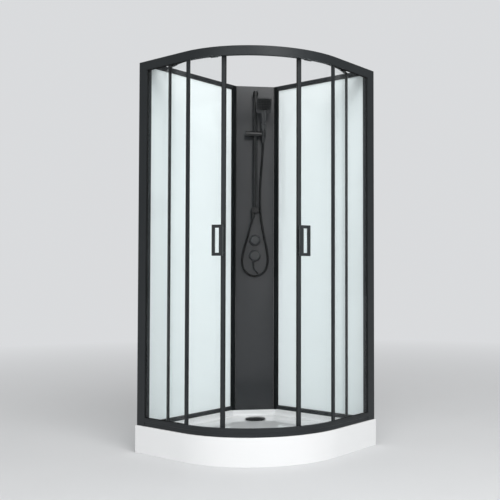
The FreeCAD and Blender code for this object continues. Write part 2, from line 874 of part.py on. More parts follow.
def make_door(side):
    sign = SIDES[side]
    lead_length = S.left_lead if side == "left" else S.right_lead
    lead = door_angle(lead_length).value
    span = door_angle(S.door_width).value
    hanger_step = door_angle(S.hanger_inset).value
    glass_bottom = S.tray_height + S.door_bottom_gap
    glass_top = S.cabin_height - S.door_top_gap

    body = arc_body(f"{side}_door_glass", sign * (lead + span * HALF_SHARE))
    sketch = sketch_on(body, "XZ_Plane")
    box_outline(sketch, door_inner, glass_bottom, door_outer, glass_top)
    revolve(body, sketch, door_angle(S.door_width))

    # Stiles, with a slot for the pane on the side that faces the door's middle.
    stile_in = door_radius - S.stile_depth * HALF_SHARE
    stile_out = door_radius + S.stile_depth * HALF_SHARE
    stile_half = S.stile_width * HALF_SHARE
    slot_in = door_inner - S.glass_fit
    slot_out = door_outer + S.glass_fit
    stile_foot = S.tray_height + S.stile_foot_gap
    stile_head = S.cabin_height - S.stile_head_gap
    for name, angle, inward in (("lead", lead, sign), ("trail", lead + span, -sign)):
        body = arc_body(f"{side}_{name}_stile", sign * angle)
        edge = stile_half * inward
        slot_end = -S.glass_fit * inward
        points = [
            (stile_in, -edge),
            (stile_out, -edge),
            (stile_out, edge),
            (slot_out, edge),
            (slot_out, slot_end),
            (slot_in, slot_end),
            (slot_in, edge),
            (stile_in, edge),
        ]
        sketch = sketch_on(body, "XY_Plane", stile_foot)
        outline(sketch, points)
        pad(body, sketch, stile_head - stile_foot)
        round_edges(
            body, S.stile_round,
            lambda edge: upright(edge) and edge_at(edge, x=stile_out),
        )

    body = arc_body(f"{side}_door_seal", sign * lead)
    sketch = sketch_on(body, "XY_Plane", stile_foot + S.seal_end_margin)
    seal_half = S.seal_width * HALF_SHARE
    box_outline(
        sketch, door_radius - seal_half, -stile_half * sign, door_radius + seal_half,
        -(stile_half + S.seal_reach) * sign,
    )
    pad(body, sketch, stile_head - stile_foot - S.seal_end_margin - S.seal_end_margin)

    # Handle: an upright loop with a finger slot, on two bosses against the leading stile.
    body = arc_body(f"{side}_handle", sign * lead)
    plate = stile_out + S.hanger_fit + S.handle_standoff
    near_side = -(stile_half + S.handle_lap)
    far_side = near_side + S.handle_width
    slot_far = far_side - S.handle_outer_bar
    slot_near = slot_far - S.handle_slot_width
    height_half = S.handle_height * HALF_SHARE
    slot_high = S.handle_slot_height * HALF_SHARE
    sketch = sketch_on(body, "YZ_Plane", plate)
    box_outline(
        sketch, near_side * sign, S.handle_level - height_half, far_side * sign,
        S.handle_level + height_half,
    )
    box_outline(
        sketch, slot_near * sign, S.handle_level - slot_high, slot_far * sign,
        S.handle_level + slot_high,
    )
    pad(body, sketch, S.handle_depth)

    def corner(edge):
        ends = [vertex.Point for vertex in edge.Vertexes]
        along_x = len(ends) == 2 and close(ends[0].y, ends[1].y) and close(ends[0].z, ends[1].z)
        return along_x and any(close(ends[0].y, across * sign) for across in (near_side, far_side))

    def front_rim(edge):
        return edge_at(edge, x=plate + S.handle_depth)

    round_edges(body, S.handle_round, corner)
    round_edges(body, S.handle_edge_round, front_rim)
    sketch = sketch_on(body, "YZ_Plane", plate)
    inner_bar = (near_side + slot_near) * HALF_SHARE
    for share in (-HALF_SHARE, HALF_SHARE):
        level = S.handle_level + S.handle_boss_spread * share
        circle(sketch, inner_bar * sign, level, S.handle_boss_radius)
    pad(body, sketch, S.handle_standoff, back=True)

    # Hangers clamp the pane's upper edge; a roller on each runs along the track's lip.
    jaw_in = door_inner - S.hanger_fit
    jaw_out = door_outer + S.hanger_fit
    roller_level = track_bottom + S.track_lip_skin + S.roller_track_gap + S.roller_radius
    plate_in = jaw_in - S.hanger_skin
    roller_out = plate_in - S.roller_side_gap
    roller_in = roller_out - S.roller_width
    bridge = glass_top + S.hanger_fit
    jaw_foot = glass_top - S.hanger_jaw
    head = S.cabin_height - S.hanger_head_gap
    for name, angle in (("lead", lead + hanger_step), ("trail", lead + span - hanger_step)):
        body = arc_body(f"{side}_{name}_hanger", sign * angle)
        sketch = sketch_on(body, "XZ_Plane")
        outline(sketch, [
            (plate_in, jaw_foot),
            (jaw_in, jaw_foot),
            (jaw_in, bridge),
            (jaw_out, bridge),
            (jaw_out, jaw_foot),
            (jaw_out + S.hanger_skin, jaw_foot),
            (jaw_out + S.hanger_skin, bridge + S.hanger_skin),
            (jaw_in, bridge + S.hanger_skin),
            (jaw_in, head),
            (plate_in, head),
        ])
        revolve(body, sketch, door_angle(S.hanger_width))
        sketch = sketch_on(body, "YZ_Plane", jaw_in - S.hanger_skin * HALF_SHARE)
        circle(sketch, ZERO, roller_level, S.axle_radius)
        axle_end = roller_in - S.axle_end_gap
        pad(body, sketch, jaw_in - S.hanger_skin * HALF_SHARE - axle_end, back=True)
        sketch = sketch_on(body, "YZ_Plane", axle_end)
        circle(sketch, ZERO, roller_level, S.axle_head_radius)
        pad(body, sketch, S.axle_head, back=True)

        body = arc_body(f"{side}_{name}_roller", sign * angle)
        sketch = sketch_on(body, "YZ_Plane", roller_in)
        circle(sketch, ZERO, roller_level, S.roller_radius)
        circle(sketch, ZERO, roller_level, S.axle_radius + S.axle_fit)
        pad(body, sketch, S.roller_width)

    # Foot guide near the leading edge, its fin in the bottom rail's groove.
    body = arc_body(f"{side}_foot_guide", sign * (lead + door_angle(S.guide_inset).value))
    fin_half = S.guide_fin_width * HALF_SHARE
    ledge_top = S.tray_height + S.guide_ledge_height
    fin_foot = ledge_top - S.guide_groove_depth + S.guide_fin_gap
    seat = glass_bottom - S.hanger_fit
    sketch = sketch_on(body, "XZ_Plane")
    outline(sketch, [
        (jaw_in - S.hanger_skin, seat - S.guide_foot),
        (door_radius - fin_half, seat - S.guide_foot),
        (door_radius - fin_half, fin_foot),
        (door_radius + fin_half, fin_foot),
        (door_radius + fin_half, seat - S.guide_foot),
        (jaw_out + S.hanger_skin, seat - S.guide_foot),
        (jaw_out + S.hanger_skin, seat + S.guide_jaw),
        (jaw_out, seat + S.guide_jaw),
        (jaw_out, seat),
        (jaw_in, seat),
        (jaw_in, seat + S.guide_jaw),
        (jaw_in - S.hanger_skin, seat + S.guide_jaw),
    ])
    revolve(body, sketch, door_angle(S.guide_width))


# Back panels along both walls and the corner posts beside the column.


def make_back_panels():
    start = S.tray_side - S.rail_inset - S.profile_depth
    pane_high = S.ledge_width - S.back_glass_setback
    pane_low = pane_high - S.back_glass
    rail_back = S.ledge_width - S.back_rail_depth
    for side in SIDES:
        for name, low, groove_back in (
            ("bottom", ledge_level, False),
            ("top", S.cabin_height - S.back_rail_height, True),
        ):
            body = new_body(f"{side}_back_{name}_rail")
            sketch = sketch_on(body, "XY_Plane", low)
            near = back_plan(side, rail_back, S.corner_post_reach)
            far = back_plan(side, S.ledge_width, start)
            box_outline(sketch, near[0], near[1], far[0], far[1])
            pad(body, sketch, S.back_rail_height)
            level = low if groove_back else low + S.back_rail_height
            sketch = sketch_on(body, "XY_Plane", level)
            near = back_plan(side, pane_low - S.glass_fit, S.corner_post_reach - S.overrun)
            far = back_plan(side, pane_high + S.glass_fit, start + S.overrun)
            box_outline(sketch, near[0], near[1], far[0], far[1])
            pocket(body, sketch, S.glass_seat, back=groove_back)

        body = new_body(f"{side}_back_glass")
        bottom = ledge_level + S.back_rail_height - S.glass_seat
        top = S.cabin_height - S.back_rail_height + S.glass_seat - S.glass_fit
        sketch = sketch_on(body, "XY_Plane", bottom)
        near = back_plan(side, pane_low, S.corner_post_reach - S.glass_seat + S.glass_fit)
        far = back_plan(side, pane_high, start + S.glass_seat - S.glass_fit)
        box_outline(sketch, near[0], near[1], far[0], far[1])
        pad(body, sketch, top - bottom)

        body = new_body(f"{side}_corner_post")
        post_back = S.ledge_width - S.corner_post_depth
        reach = S.corner_post_reach
        points = [
            (post_back, corner_near),
            (S.ledge_width, corner_near),
            (S.ledge_width, reach),
            (pane_high + S.glass_fit, reach),
            (pane_high + S.glass_fit, reach - S.glass_seat),
            (pane_low - S.glass_fit, reach - S.glass_seat),
            (pane_low - S.glass_fit, reach),
            (post_back, reach),
        ]
        sketch = sketch_on(body, "XY_Plane", ledge_level)
        outline(sketch, [back_plan(side, a, b) for a, b in points])
        pad(body, sketch, S.cabin_height - ledge_level)


# Column with mixer, riser rail and hand shower.


def make_column():
    height = S.cabin_height - ledge_level
    knob_levels = (S.upper_knob_level, S.lower_knob_level)
    body = column_body("column_panel", out=column_front, level=ledge_level)
    sketch = sketch_on(body, "XY_Plane")
    outline(sketch, [
        (-column_half, ZERO),
        (column_half, ZERO),
        (column_half, S.column_return),
        (column_half - S.column_sheet, S.column_return),
        (column_half - S.column_sheet, S.column_sheet),
        (S.column_sheet - column_half, S.column_sheet),
        (S.column_sheet - column_half, S.column_return),
        (-column_half, S.column_return),
    ])
    pad(body, sketch, height)
    sketch = sketch_on(body, "XZ_Plane")
    for level in knob_levels:
        circle(sketch, ZERO, level - ledge_level, S.escutcheon_bore)
    pocket(body, sketch, S.column_sheet + S.overrun)

    # Mixer behind the panel: upright body, flanged spindles, two inlets, feed to the rail's foot.
    mixer_y = S.mixer_setback
    body_low = S.lower_knob_level - S.mixer_overhang
    body_high = S.upper_knob_level + S.mixer_overhang
    body = column_body("mixer_body", out=column_front)
    sketch = sketch_on(body, "XY_Plane", body_low)
    circle(sketch, ZERO, mixer_y, S.mixer_radius)
    pad(body, sketch, body_high - body_low)
    for level in knob_levels:
        sketch = sketch_on(body, "XZ_Plane", -mixer_y)
        circle(sketch, ZERO, level, S.mixer_flange_radius)
        pad(body, sketch, mixer_y - S.column_sheet)
        sketch = sketch_on(body, "XZ_Plane", -mixer_y)
        circle(sketch, ZERO, level, S.spindle_radius)
        pad(body, sketch, mixer_y + S.escutcheon_height + S.knob_gap + S.knob_bore_depth)
    arm_half = S.inlet_spread * HALF_SHARE + S.inlet_radius
    arm_depth = S.inlet_radius
    sketch = sketch_on(body, "XY_Plane", body_low)
    box_outline(sketch, -arm_half, mixer_y - arm_depth, arm_half, mixer_y + arm_depth)
    pad(body, sketch, S.inlet_arm_height)
    inlet_level = body_low + S.inlet_arm_height * HALF_SHARE
    sketch = sketch_on(body, "XZ_Plane", -mixer_y - arm_depth)
    for sign in (-1, 1):
        circle(sketch, S.inlet_spread * HALF_SHARE * sign, inlet_level, S.inlet_radius)
    pad(body, sketch, S.inlet_length, back=True)
    sketch = sketch_on(body, "XY_Plane", body_high)
    circle(sketch, ZERO, mixer_y, S.feed_radius)
    pad(body, sketch, S.riser_bottom + S.feed_radius - body_high)
    sketch = sketch_on(body, "XZ_Plane", -mixer_y)
    circle(sketch, ZERO, S.riser_bottom, S.feed_radius)
    pad(body, sketch, mixer_y - S.column_sheet)

    for name, level, radius in (
        ("upper", S.upper_knob_level, S.upper_knob_radius),
        ("lower", S.lower_knob_level, S.lower_knob_radius),
    ):
        body = column_body(f"{name}_escutcheon", out=column_front, level=level)
        sketch = sketch_on(body, "XY_Plane")
        outline(sketch, [
            (S.spindle_radius + S.knob_gap, -S.escutcheon_height),
            (S.escutcheon_radius - S.escutcheon_height * HALF_SHARE, -S.escutcheon_height),
            (S.escutcheon_radius, -S.escutcheon_height * HALF_SHARE),
            (S.escutcheon_radius, ZERO),
            (S.spindle_radius + S.knob_gap, ZERO),
        ])
        revolve(body, sketch)

        body = column_body(f"{name}_knob", out=column_front, level=level)
        near = S.escutcheon_height + S.knob_gap
        far = near + S.knob_length
        bore = S.spindle_radius + S.spindle_fit
        bore_end = near + S.knob_bore_depth + S.spindle_fit
        sketch = sketch_on(body, "XY_Plane")
        outline(sketch, [
            (ZERO, -far),
            (radius, -far),
            (radius, -near),
            (bore, -near),
            (bore, -bore_end),
            (ZERO, -bore_end),
        ])
        revolve(body, sketch)
        round_edges(body, S.knob_dome, lambda edge: edge_at(edge, y=-far))

    # Bent lever pin under the lower knob.
    body = column_body("lower_lever", out=column_front, level=S.lower_knob_level)
    reach = S.escutcheon_height + S.knob_gap + S.knob_length - S.lever_setback
    start = S.lower_knob_radius
    sketch = sketch_on(body, "XY_Plane", -start)
    circle(sketch, S.lever_side, -reach, S.lever_radius)
    profile = sketch
    spine = sketch_on(body, "XZ_Plane", reach)
    corner = -start - S.lever_drop
    spine.addGeometry(Part.LineSegment(
        FreeCAD.Vector(S.lever_side.value, -start.value, 0),
        FreeCAD.Vector(S.lever_side.value, corner.value, 0),
    ))
    end_x = S.lever_side + S.lever_bend_side
    end_y = corner - S.lever_bend_drop
    spine.addGeometry(Part.LineSegment(
        FreeCAD.Vector(S.lever_side.value, corner.value, 0),
        FreeCAD.Vector(end_x.value, end_y.value, 0),
    ))
    spine.addConstraint(Sketcher.Constraint("Coincident", 0, 2, 1, 1))
    fix(spine, "DistanceX", S.lever_side, 0, 1)
    fix(spine, "DistanceY", -start, 0, 1)
    fix(spine, "DistanceX", S.lever_side, 1, 1)
    fix(spine, "DistanceY", corner, 1, 1)
    fix(spine, "DistanceX", end_x, 1, 2)
    fix(spine, "DistanceY", end_y, 1, 2)
    pipe = body.newObject("PartDesign::AdditivePipe", "lower_lever_pipe")
    pipe.Profile = profile
    pipe.Spine = (spine, ["Edge1", "Edge2"])
    pipe.Transition = "Round corner"


def make_riser():
    body = column_body("riser_rail", out=riser_out, level=S.riser_bottom)
    sketch = sketch_on(body, "XY_Plane")
    circle(sketch, ZERO, ZERO, S.riser_radius)
    pad(body, sketch, riser_top - S.riser_bottom)

    level = riser_top - S.bracket_drop
    body = column_body("riser_top_bracket", out=riser_out, level=level)
    sketch = sketch_on(body, "XY_Plane", -S.bracket_height * HALF_SHARE)
    circle(sketch, ZERO, ZERO, S.bracket_radius)
    pad(body, sketch, S.bracket_height)
    sketch = sketch_on(body, "XZ_Plane", -S.riser_standoff)
    circle(sketch, ZERO, ZERO, S.bracket_arm_radius)
    pad(body, sketch, S.riser_standoff)
    sketch = sketch_on(body, "XZ_Plane", -S.riser_standoff)
    circle(sketch, ZERO, ZERO, S.bracket_rose_radius)
    pad(body, sketch, S.bracket_rose)
    sketch = sketch_on(body, "XY_Plane", -S.bracket_height)
    circle(sketch, ZERO, ZERO, S.riser_radius)
    pocket(body, sketch, S.bracket_height + S.bracket_height, back=True)

    # Foot: block that holds the rail's lower end and sends the water down into the hose.
    body = column_body("riser_foot", out=riser_out, level=S.riser_bottom)
    width = S.foot_block_width * HALF_SHARE
    depth = S.foot_block_depth * HALF_SHARE
    low = S.foot_socket_depth - S.foot_block_height
    sketch = sketch_on(body, "XY_Plane", low)
    box_outline(sketch, -width, -depth, width, depth)
    pad(body, sketch, S.foot_block_height)
    round_edges(body, S.foot_block_round, upright)
    sketch = sketch_on(body, "XZ_Plane", -S.riser_standoff)
    circle(sketch, ZERO, ZERO, S.bracket_arm_radius)
    pad(body, sketch, S.riser_standoff - depth)
    sketch = sketch_on(body, "XZ_Plane", -S.riser_standoff)
    circle(sketch, ZERO, ZERO, S.bracket_rose_radius)
    pad(body, sketch, S.bracket_rose)
    sketch = sketch_on(body, "XY_Plane")
    circle(sketch, ZERO, ZERO, S.riser_radius)
    pocket(body, sketch, S.foot_block_height, back=True)
    sketch = sketch_on(body, "XY_Plane", low)
    circle(sketch, -S.nipple_side, S.nipple_setback - S.riser_radius, S.nipple_radius)
    pad(body, sketch, S.nipple_length, back=True)


def make_slider():
    # Slider: a bar across the rail, with the lock knob on its left end.
    bore = S.slider_stub_radius + S.slider_fit
    body = column_body("slider_body", out=riser_out, level=S.slider_level)
    sketch = sketch_on(body, "YZ_Plane", -S.slider_left)
    circle(sketch, ZERO, ZERO, S.slider_radius)
    pad(body, sketch, S.slider_left + S.slider_right)
    sketch = sketch_on(body, "XY_Plane")
    circle(sketch, ZERO, ZERO, S.riser_radius + S.slider_fit)
    pocket(body, sketch, S.slider_radius + S.slider_radius + S.overrun, both=True)
    for start, back in ((-S.slider_left, True), (S.slider_right, False)):
        sketch = sketch_on(body, "YZ_Plane", start)
        circle(sketch, ZERO, ZERO, bore)
        pocket(body, sketch, S.slider_stub + S.slider_fit, back=back)

    body = column_body("slider_knob", out=riser_out, level=S.slider_level)
    near = S.slider_left + S.slider_knob_gap
    bevel = S.slider_radius - S.knob_round
    sketch = sketch_on(body, "XY_Plane")
    outline(sketch, [
        (-S.knob_tip, ZERO),
        (S.slider_stub - S.slider_left, ZERO),
        (S.slider_stub - S.slider_left, S.slider_stub_radius),
        (-near, S.slider_stub_radius),
        (-near, S.slider_radius),
        (S.knob_round - S.knob_tip, S.slider_radius),
        (-S.knob_tip, bevel),
    ])
    revolve(body, sketch, axis="H_Axis")

    # Cone holder at the right end; it tilts about the bar.
    tilt = S.handset_tilt.value
    reach = S.slider_right + S.slider_knob_gap
    body = column_body("cone_holder", S.holder_side, riser_out, S.slider_level, tilt)
    sketch = sketch_on(body, "YZ_Plane", reach - S.holder_side)
    circle(sketch, ZERO, ZERO, S.holder_neck_radius)
    pad(body, sketch, S.holder_side - reach)
    sketch = sketch_on(body, "YZ_Plane", S.slider_right - S.slider_stub - S.holder_side)
    circle(sketch, ZERO, ZERO, S.slider_stub_radius)
    pad(body, sketch, S.holder_side - S.slider_right + S.slider_stub)
    sketch = sketch_on(body, "XY_Plane")
    circle(sketch, ZERO, ZERO, S.holder_radius)
    pad(body, sketch, S.holder_height, both=True)
    fit = S.handset_fit
    top = S.holder_height * HALF_SHARE
    sketch = sketch_on(body, "XZ_Plane")
    outline(sketch, [
        (ZERO, -top - S.overrun),
        (S.cone_bottom_radius + fit, -top - S.overrun),
        (S.cone_bottom_radius + fit, -top),
        (S.cone_top_radius + fit, top),
        (S.cone_top_radius + fit, top + S.overrun),
        (ZERO, top + S.overrun),
    ])
    groove = body.newObject("PartDesign::Groove", "cone_holder_bore")
    groove.Profile = sketch
    groove.ReferenceAxis = (sketch, ["V_Axis"])
    groove.Angle = FULL_TURN
    # Slot in front, through which the hose leaves when the hand shower is lifted out.
    slot = S.holder_slot * HALF_SHARE
    sketch = sketch_on(body, "XY_Plane", -S.holder_height)
    box_outline(sketch, -slot, -S.holder_radius - S.overrun, slot, ZERO)
    pocket(body, sketch, S.holder_height + S.holder_height, back=True)


def make_handset():
    tilt = S.handset_tilt.value
    top = S.holder_height * HALF_SHARE
    body = column_body("handset", S.holder_side, riser_out, S.slider_level, tilt)
    sketch = sketch_on(body, "XZ_Plane")
    outline(sketch, [
        (ZERO, -S.nut_drop),
        (S.nut_radius, -S.nut_drop),
        (S.nut_radius, S.nut_length - S.nut_drop),
        (S.cone_bottom_radius, S.nut_length - S.nut_drop),
        (S.cone_bottom_radius, -top),
        (S.cone_top_radius, top),
        (S.cone_top_radius, top + S.handset_fit),
        (S.collar_radius, top + S.handset_fit),
        (S.collar_radius, top + S.handset_fit + S.collar_height),
        (S.grip_bottom_radius, top + S.handset_fit + S.collar_height),
        (S.grip_top_radius, S.grip_top),
        (ZERO, S.grip_top),
    ])
    revolve(body, sketch)

    # Square head, leaning further out than the grip.
    lean = math.radians(S.head_tilt.value)
    sin_share = math.sin(lean)
    cos_share = math.cos(lean)
    reach = S.head_side * HALF_SHARE
    thick = S.head_thickness * HALF_SHARE

    def on_head(up, out):
        return (-up * sin_share - out * cos_share, S.head_level + up * cos_share - out * sin_share)

    sketch = sketch_on(body, "YZ_Plane")
    outline(sketch, [on_head(-reach, thick), on_head(-reach, -thick), on_head(reach, -thick),
                     on_head(reach, thick)])
    pad(body, sketch, S.head_side, both=True)

    def head_corner(edge):
        ends = [vertex.Point for vertex in edge.Vertexes]
        along = ends[-1] - ends[0]
        out = FreeCAD.Vector(0, cos_share, sin_share)
        side = close(abs(ends[0].x), reach) and close(abs(ends[-1].x), reach)
        return side and close(along.cross(out).Length, 0) and close(along.Length, S.head_thickness)

    round_edges(body, S.head_round, head_corner)

    body = column_body("spray_plate", S.holder_side, riser_out, S.slider_level, tilt)
    spray = S.spray_height * HALF_SHARE
    face = thick
    rise = S.spray_rise
    sketch = sketch_on(body, "YZ_Plane")
    outline(sketch, [
        on_head(rise - spray, face + S.spray_thickness),
        on_head(rise - spray, face),
        on_head(rise + spray, face),
        on_head(rise + spray, face + S.spray_thickness),
    ])
    pad(body, sketch, S.spray_width, both=True)


def make_hose():
    """Hose from the hand shower's nut down round the knobs and up to the rail's foot."""
    tilt = math.radians(S.handset_tilt.value)
    out = riser_out.value
    nut = S.nut_drop.value
    face = column_front.value
    start = (S.holder_side.value, out - nut * math.sin(tilt), S.slider_level.value - nut * math.cos(tilt))
    end = (
        -S.nipple_side.value,
        out - S.nipple_setback.value + S.riser_radius.value,
        S.riser_bottom.value + S.foot_socket_depth.value - S.foot_block_height.value - S.nipple_length.value,
    )
    # Route in the column's frame: to the right, out from the wall corner, and level.
    lead = S.hose_lead.value
    first = (start[0], start[1] - lead * math.sin(tilt), start[2] - lead * math.cos(tilt))
    final = (end[0], end[1], end[2] - S.hose_tail.value)
    route = [
        start, first,
        (45, 226, 1650), (41, 223, 1595), (36, 221, 1530), (31, 220, 1450), (28, 219, 1365),
        (31, 218, 1285), (41, 217, 1215), (54, 216, 1145), (67, 216, 1085), (76, 216, 1035),
        (78, 216, 990), (66, 216, 948), (38, 216, 919), (-1, 216, 909), (-39, 216, 920),
        (-67, 217, 951), (-77, 218, 995), (-71, 220, 1042), (-58, 223, 1090), (-43, 228, 1142),
        (-30, 236, 1190), (-20, 244, 1226), final, end,
    ]
    points = []
    for side, away, level in route:
        x = (away + side) * DIAGONAL_SHARE - half.value
        y = half.value + (side - away) * DIAGONAL_SHARE
        points.append(FreeCAD.Vector(x, y, level))
    runs = [(b - a).Length for a, b in zip(points, points[1:])]
    edges = []
    radii = []
    last = points[0]
    reach_share = 0.45
    for index in range(1, len(points) - 1):
        before = (points[index - 1] - points[index]).normalize()
        after = (points[index + 1] - points[index]).normalize()
        turn = math.pi - before.getAngle(after)
        step = reach_share * min(runs[index - 1], runs[index])
        radius = step / math.tan(turn * HALF_SHARE)
        radii.append(radius)
        into = points[index] + before * step
        away = points[index] + after * step
        bisector = (before + after).normalize()
        centre = points[index] + bisector * (radius / math.cos(turn * HALF_SHARE))
        middle = centre - bisector * radius
        edges.append(Part.LineSegment(last, into).toShape())
        edges.append(Part.Arc(into, middle, away).toShape())
        last = away
    edges.append(Part.LineSegment(last, points[-1]).toShape())
    path = Part.Wire(edges)
    ring = Part.Circle(points[0], points[1] - points[0], S.hose_radius.value)
    section = Part.Wire([ring.toShape()])
    tube = path.makePipeShell([section], True, False)
    area = math.pi * S.hose_radius.value ** 2
    print("hose length", round(path.Length, 1), "least radius", round(min(radii), 1))
    print("hose volume over section times length", round(tube.Volume / (area * path.Length), 4))
    hose = doc.addObject("Part::Feature", "shower_hose")
    hose.Label = "shower_hose"
    hose.Shape = tube
    hose.Placement = FreeCAD.Placement()
    NODES.append(hose)


make_tray()
make_support()
make_waste()
make_wall_profiles()
make_rails()
make_fixed_panels()
for door_side in SIDES:
    make_door(door_side)
make_back_panels()
make_column()
make_riser()
make_slider()
make_handset()
make_hose()
doc.recompute()

for item in doc.Objects:
    if "Invalid" in item.State or "Error" in item.State:
        raise RuntimeError(f"{item.Label} did not recompute: {item.State}")
os.makedirs("parts", exist_ok=True)
for node in NODES:
    if node.Shape.isNull() or not node.Shape.isValid() or not node.Shape.Solids:
        raise RuntimeError(f"{node.Label} has no valid solid")
for node in NODES:
    node.Shape.exportStep(os.path.join("parts", f"{node.Label}.step"))
print(len(NODES), "nodes written")
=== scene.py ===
"""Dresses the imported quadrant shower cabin: finishes, hose, beads, screws, nozzles and studio light."""
import json
import logging
import math
from dataclasses import dataclass
from enum import Enum
from typing import ClassVar, Sequence

import bmesh
import bpy
from mathutils import Matrix, Vector


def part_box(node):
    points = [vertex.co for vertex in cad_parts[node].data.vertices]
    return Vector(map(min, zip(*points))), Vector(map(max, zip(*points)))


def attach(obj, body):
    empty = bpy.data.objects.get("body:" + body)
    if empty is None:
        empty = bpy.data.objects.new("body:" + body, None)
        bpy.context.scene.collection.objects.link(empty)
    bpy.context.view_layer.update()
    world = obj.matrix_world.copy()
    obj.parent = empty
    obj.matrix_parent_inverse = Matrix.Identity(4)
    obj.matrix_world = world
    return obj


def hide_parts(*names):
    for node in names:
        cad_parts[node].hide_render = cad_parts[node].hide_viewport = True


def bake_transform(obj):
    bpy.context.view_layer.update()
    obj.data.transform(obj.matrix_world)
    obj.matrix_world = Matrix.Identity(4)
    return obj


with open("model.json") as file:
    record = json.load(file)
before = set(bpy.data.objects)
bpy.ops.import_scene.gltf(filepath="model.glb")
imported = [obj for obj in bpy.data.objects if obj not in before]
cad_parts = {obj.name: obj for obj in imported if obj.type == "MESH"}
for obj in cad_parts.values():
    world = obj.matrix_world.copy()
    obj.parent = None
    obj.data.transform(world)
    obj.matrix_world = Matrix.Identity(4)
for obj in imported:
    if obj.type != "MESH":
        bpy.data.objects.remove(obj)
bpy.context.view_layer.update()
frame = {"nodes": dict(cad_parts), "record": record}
LOG = logging.getLogger("cabin")
Colour = tuple[float, float, float]
Point = tuple[float, float, float]
TRAY_SIDE = 0.9
HALF_SIDE = TRAY_SIDE / 2
FRONT_CENTRE = 0.1
HALF_ROOT = math.sqrt(0.5)
CORNER = Vector((-HALF_SIDE, HALF_SIDE, 0.0))
OUT = Vector((HALF_ROOT, -HALF_ROOT, 0.0))
ACROSS = Vector((HALF_ROOT, HALF_ROOT, 0.0))
UP = Vector((0.0, 0.0, 1.0))
IN_LINE = 0.99
CREASE = math.radians(35)
HEXAGON = 6


class Side(Enum):
    """The two halves of the cabin, as a person in front of it names them."""

    LEFT = "left"
    RIGHT = "right"

    @property
    def sign(self) -> int:
        """Gives -1 on the left and 1 on the right."""
        return -1 if self is Side.LEFT else 1

    def plan(self, along: float, inset: float, level: float) -> Vector:
        """Gives a point from its place beside one wall.

        Args:
            along: metres from the wall, along the tray's side.
            inset: metres inwards from the tray's edge.
            level: height above the floor in metres.

        Returns:
            The point in the cabin's frame.
        """
        if self is Side.LEFT:
            return Vector((along - HALF_SIDE, inset - HALF_SIDE, level))
        return Vector((HALF_SIDE - inset, HALF_SIDE - along, level))

    def inwards(self) -> Vector:
        """Gives the direction from the tray's front edge into the cabin."""
        return self.plan(0.0, 1.0, 0.0) - self.plan(0.0, 0.0, 0.0)

    def from_wall(self) -> Vector:
        """Gives the direction away from this side's wall."""
        return self.plan(1.0, 0.0, 0.0) - self.plan(0.0, 0.0, 0.0)


class Sheen(Enum):
    """How a lacquered surface is finished: the weight and the roughness of its coat."""

    MATT = (0.0, 0.0)
    SATIN = (0.25, 0.22)
    GLOSS = (1.0, 0.04)


def at_column(across: float, out: float, level: float) -> Vector:
    """Gives a point from its place on the corner column.

    Args:
        across: metres to the right of the column's middle.
        out: metres from the wall corner, along the diagonal.
        level: height above the floor in metres.

    Returns:
        The point in the cabin's frame.
    """
    return CORNER + OUT * out + ACROSS * across + UP * level


def front_circle(turn: float, radius: float, level: float) -> Vector:
    """Gives a point from its place on the circle of the round front.

    Args:
        turn: angle from the doorway's middle in radians, less than zero on the left.
        radius: metres from the circle's centre.
        level: height above the floor in metres.

    Returns:
        The point in the cabin's frame.
    """
    angle = turn - math.pi / 4
    return Vector((radius * math.cos(angle) - FRONT_CENTRE, radius * math.sin(angle) + FRONT_CENTRE, level))


def standing(foot: Vector, axis: Vector, top: Vector = UP) -> Matrix:
    """Gives a place whose own Z runs along an axis.

    Args:
        foot: the place's origin.
        axis: the direction of its Z.
        top: the direction that its Y leans to.

    Returns:
        The place as a matrix.
    """
    z = axis.normalized()
    if abs(z.dot(top)) > IN_LINE:
        top = OUT
    x = top.cross(z).normalized()
    y = z.cross(x)
    turn = Matrix((x, y, z)).transposed().to_4x4()
    return Matrix.Translation(foot) @ turn


def headings(line: Sequence[Vector]) -> list[Vector]:
    """Gives a line's direction at each of its points."""
    last = len(line) - 1
    return [(line[min(spot + 1, last)] - line[max(spot - 1, 0)]).normalized() for spot in range(len(line))]


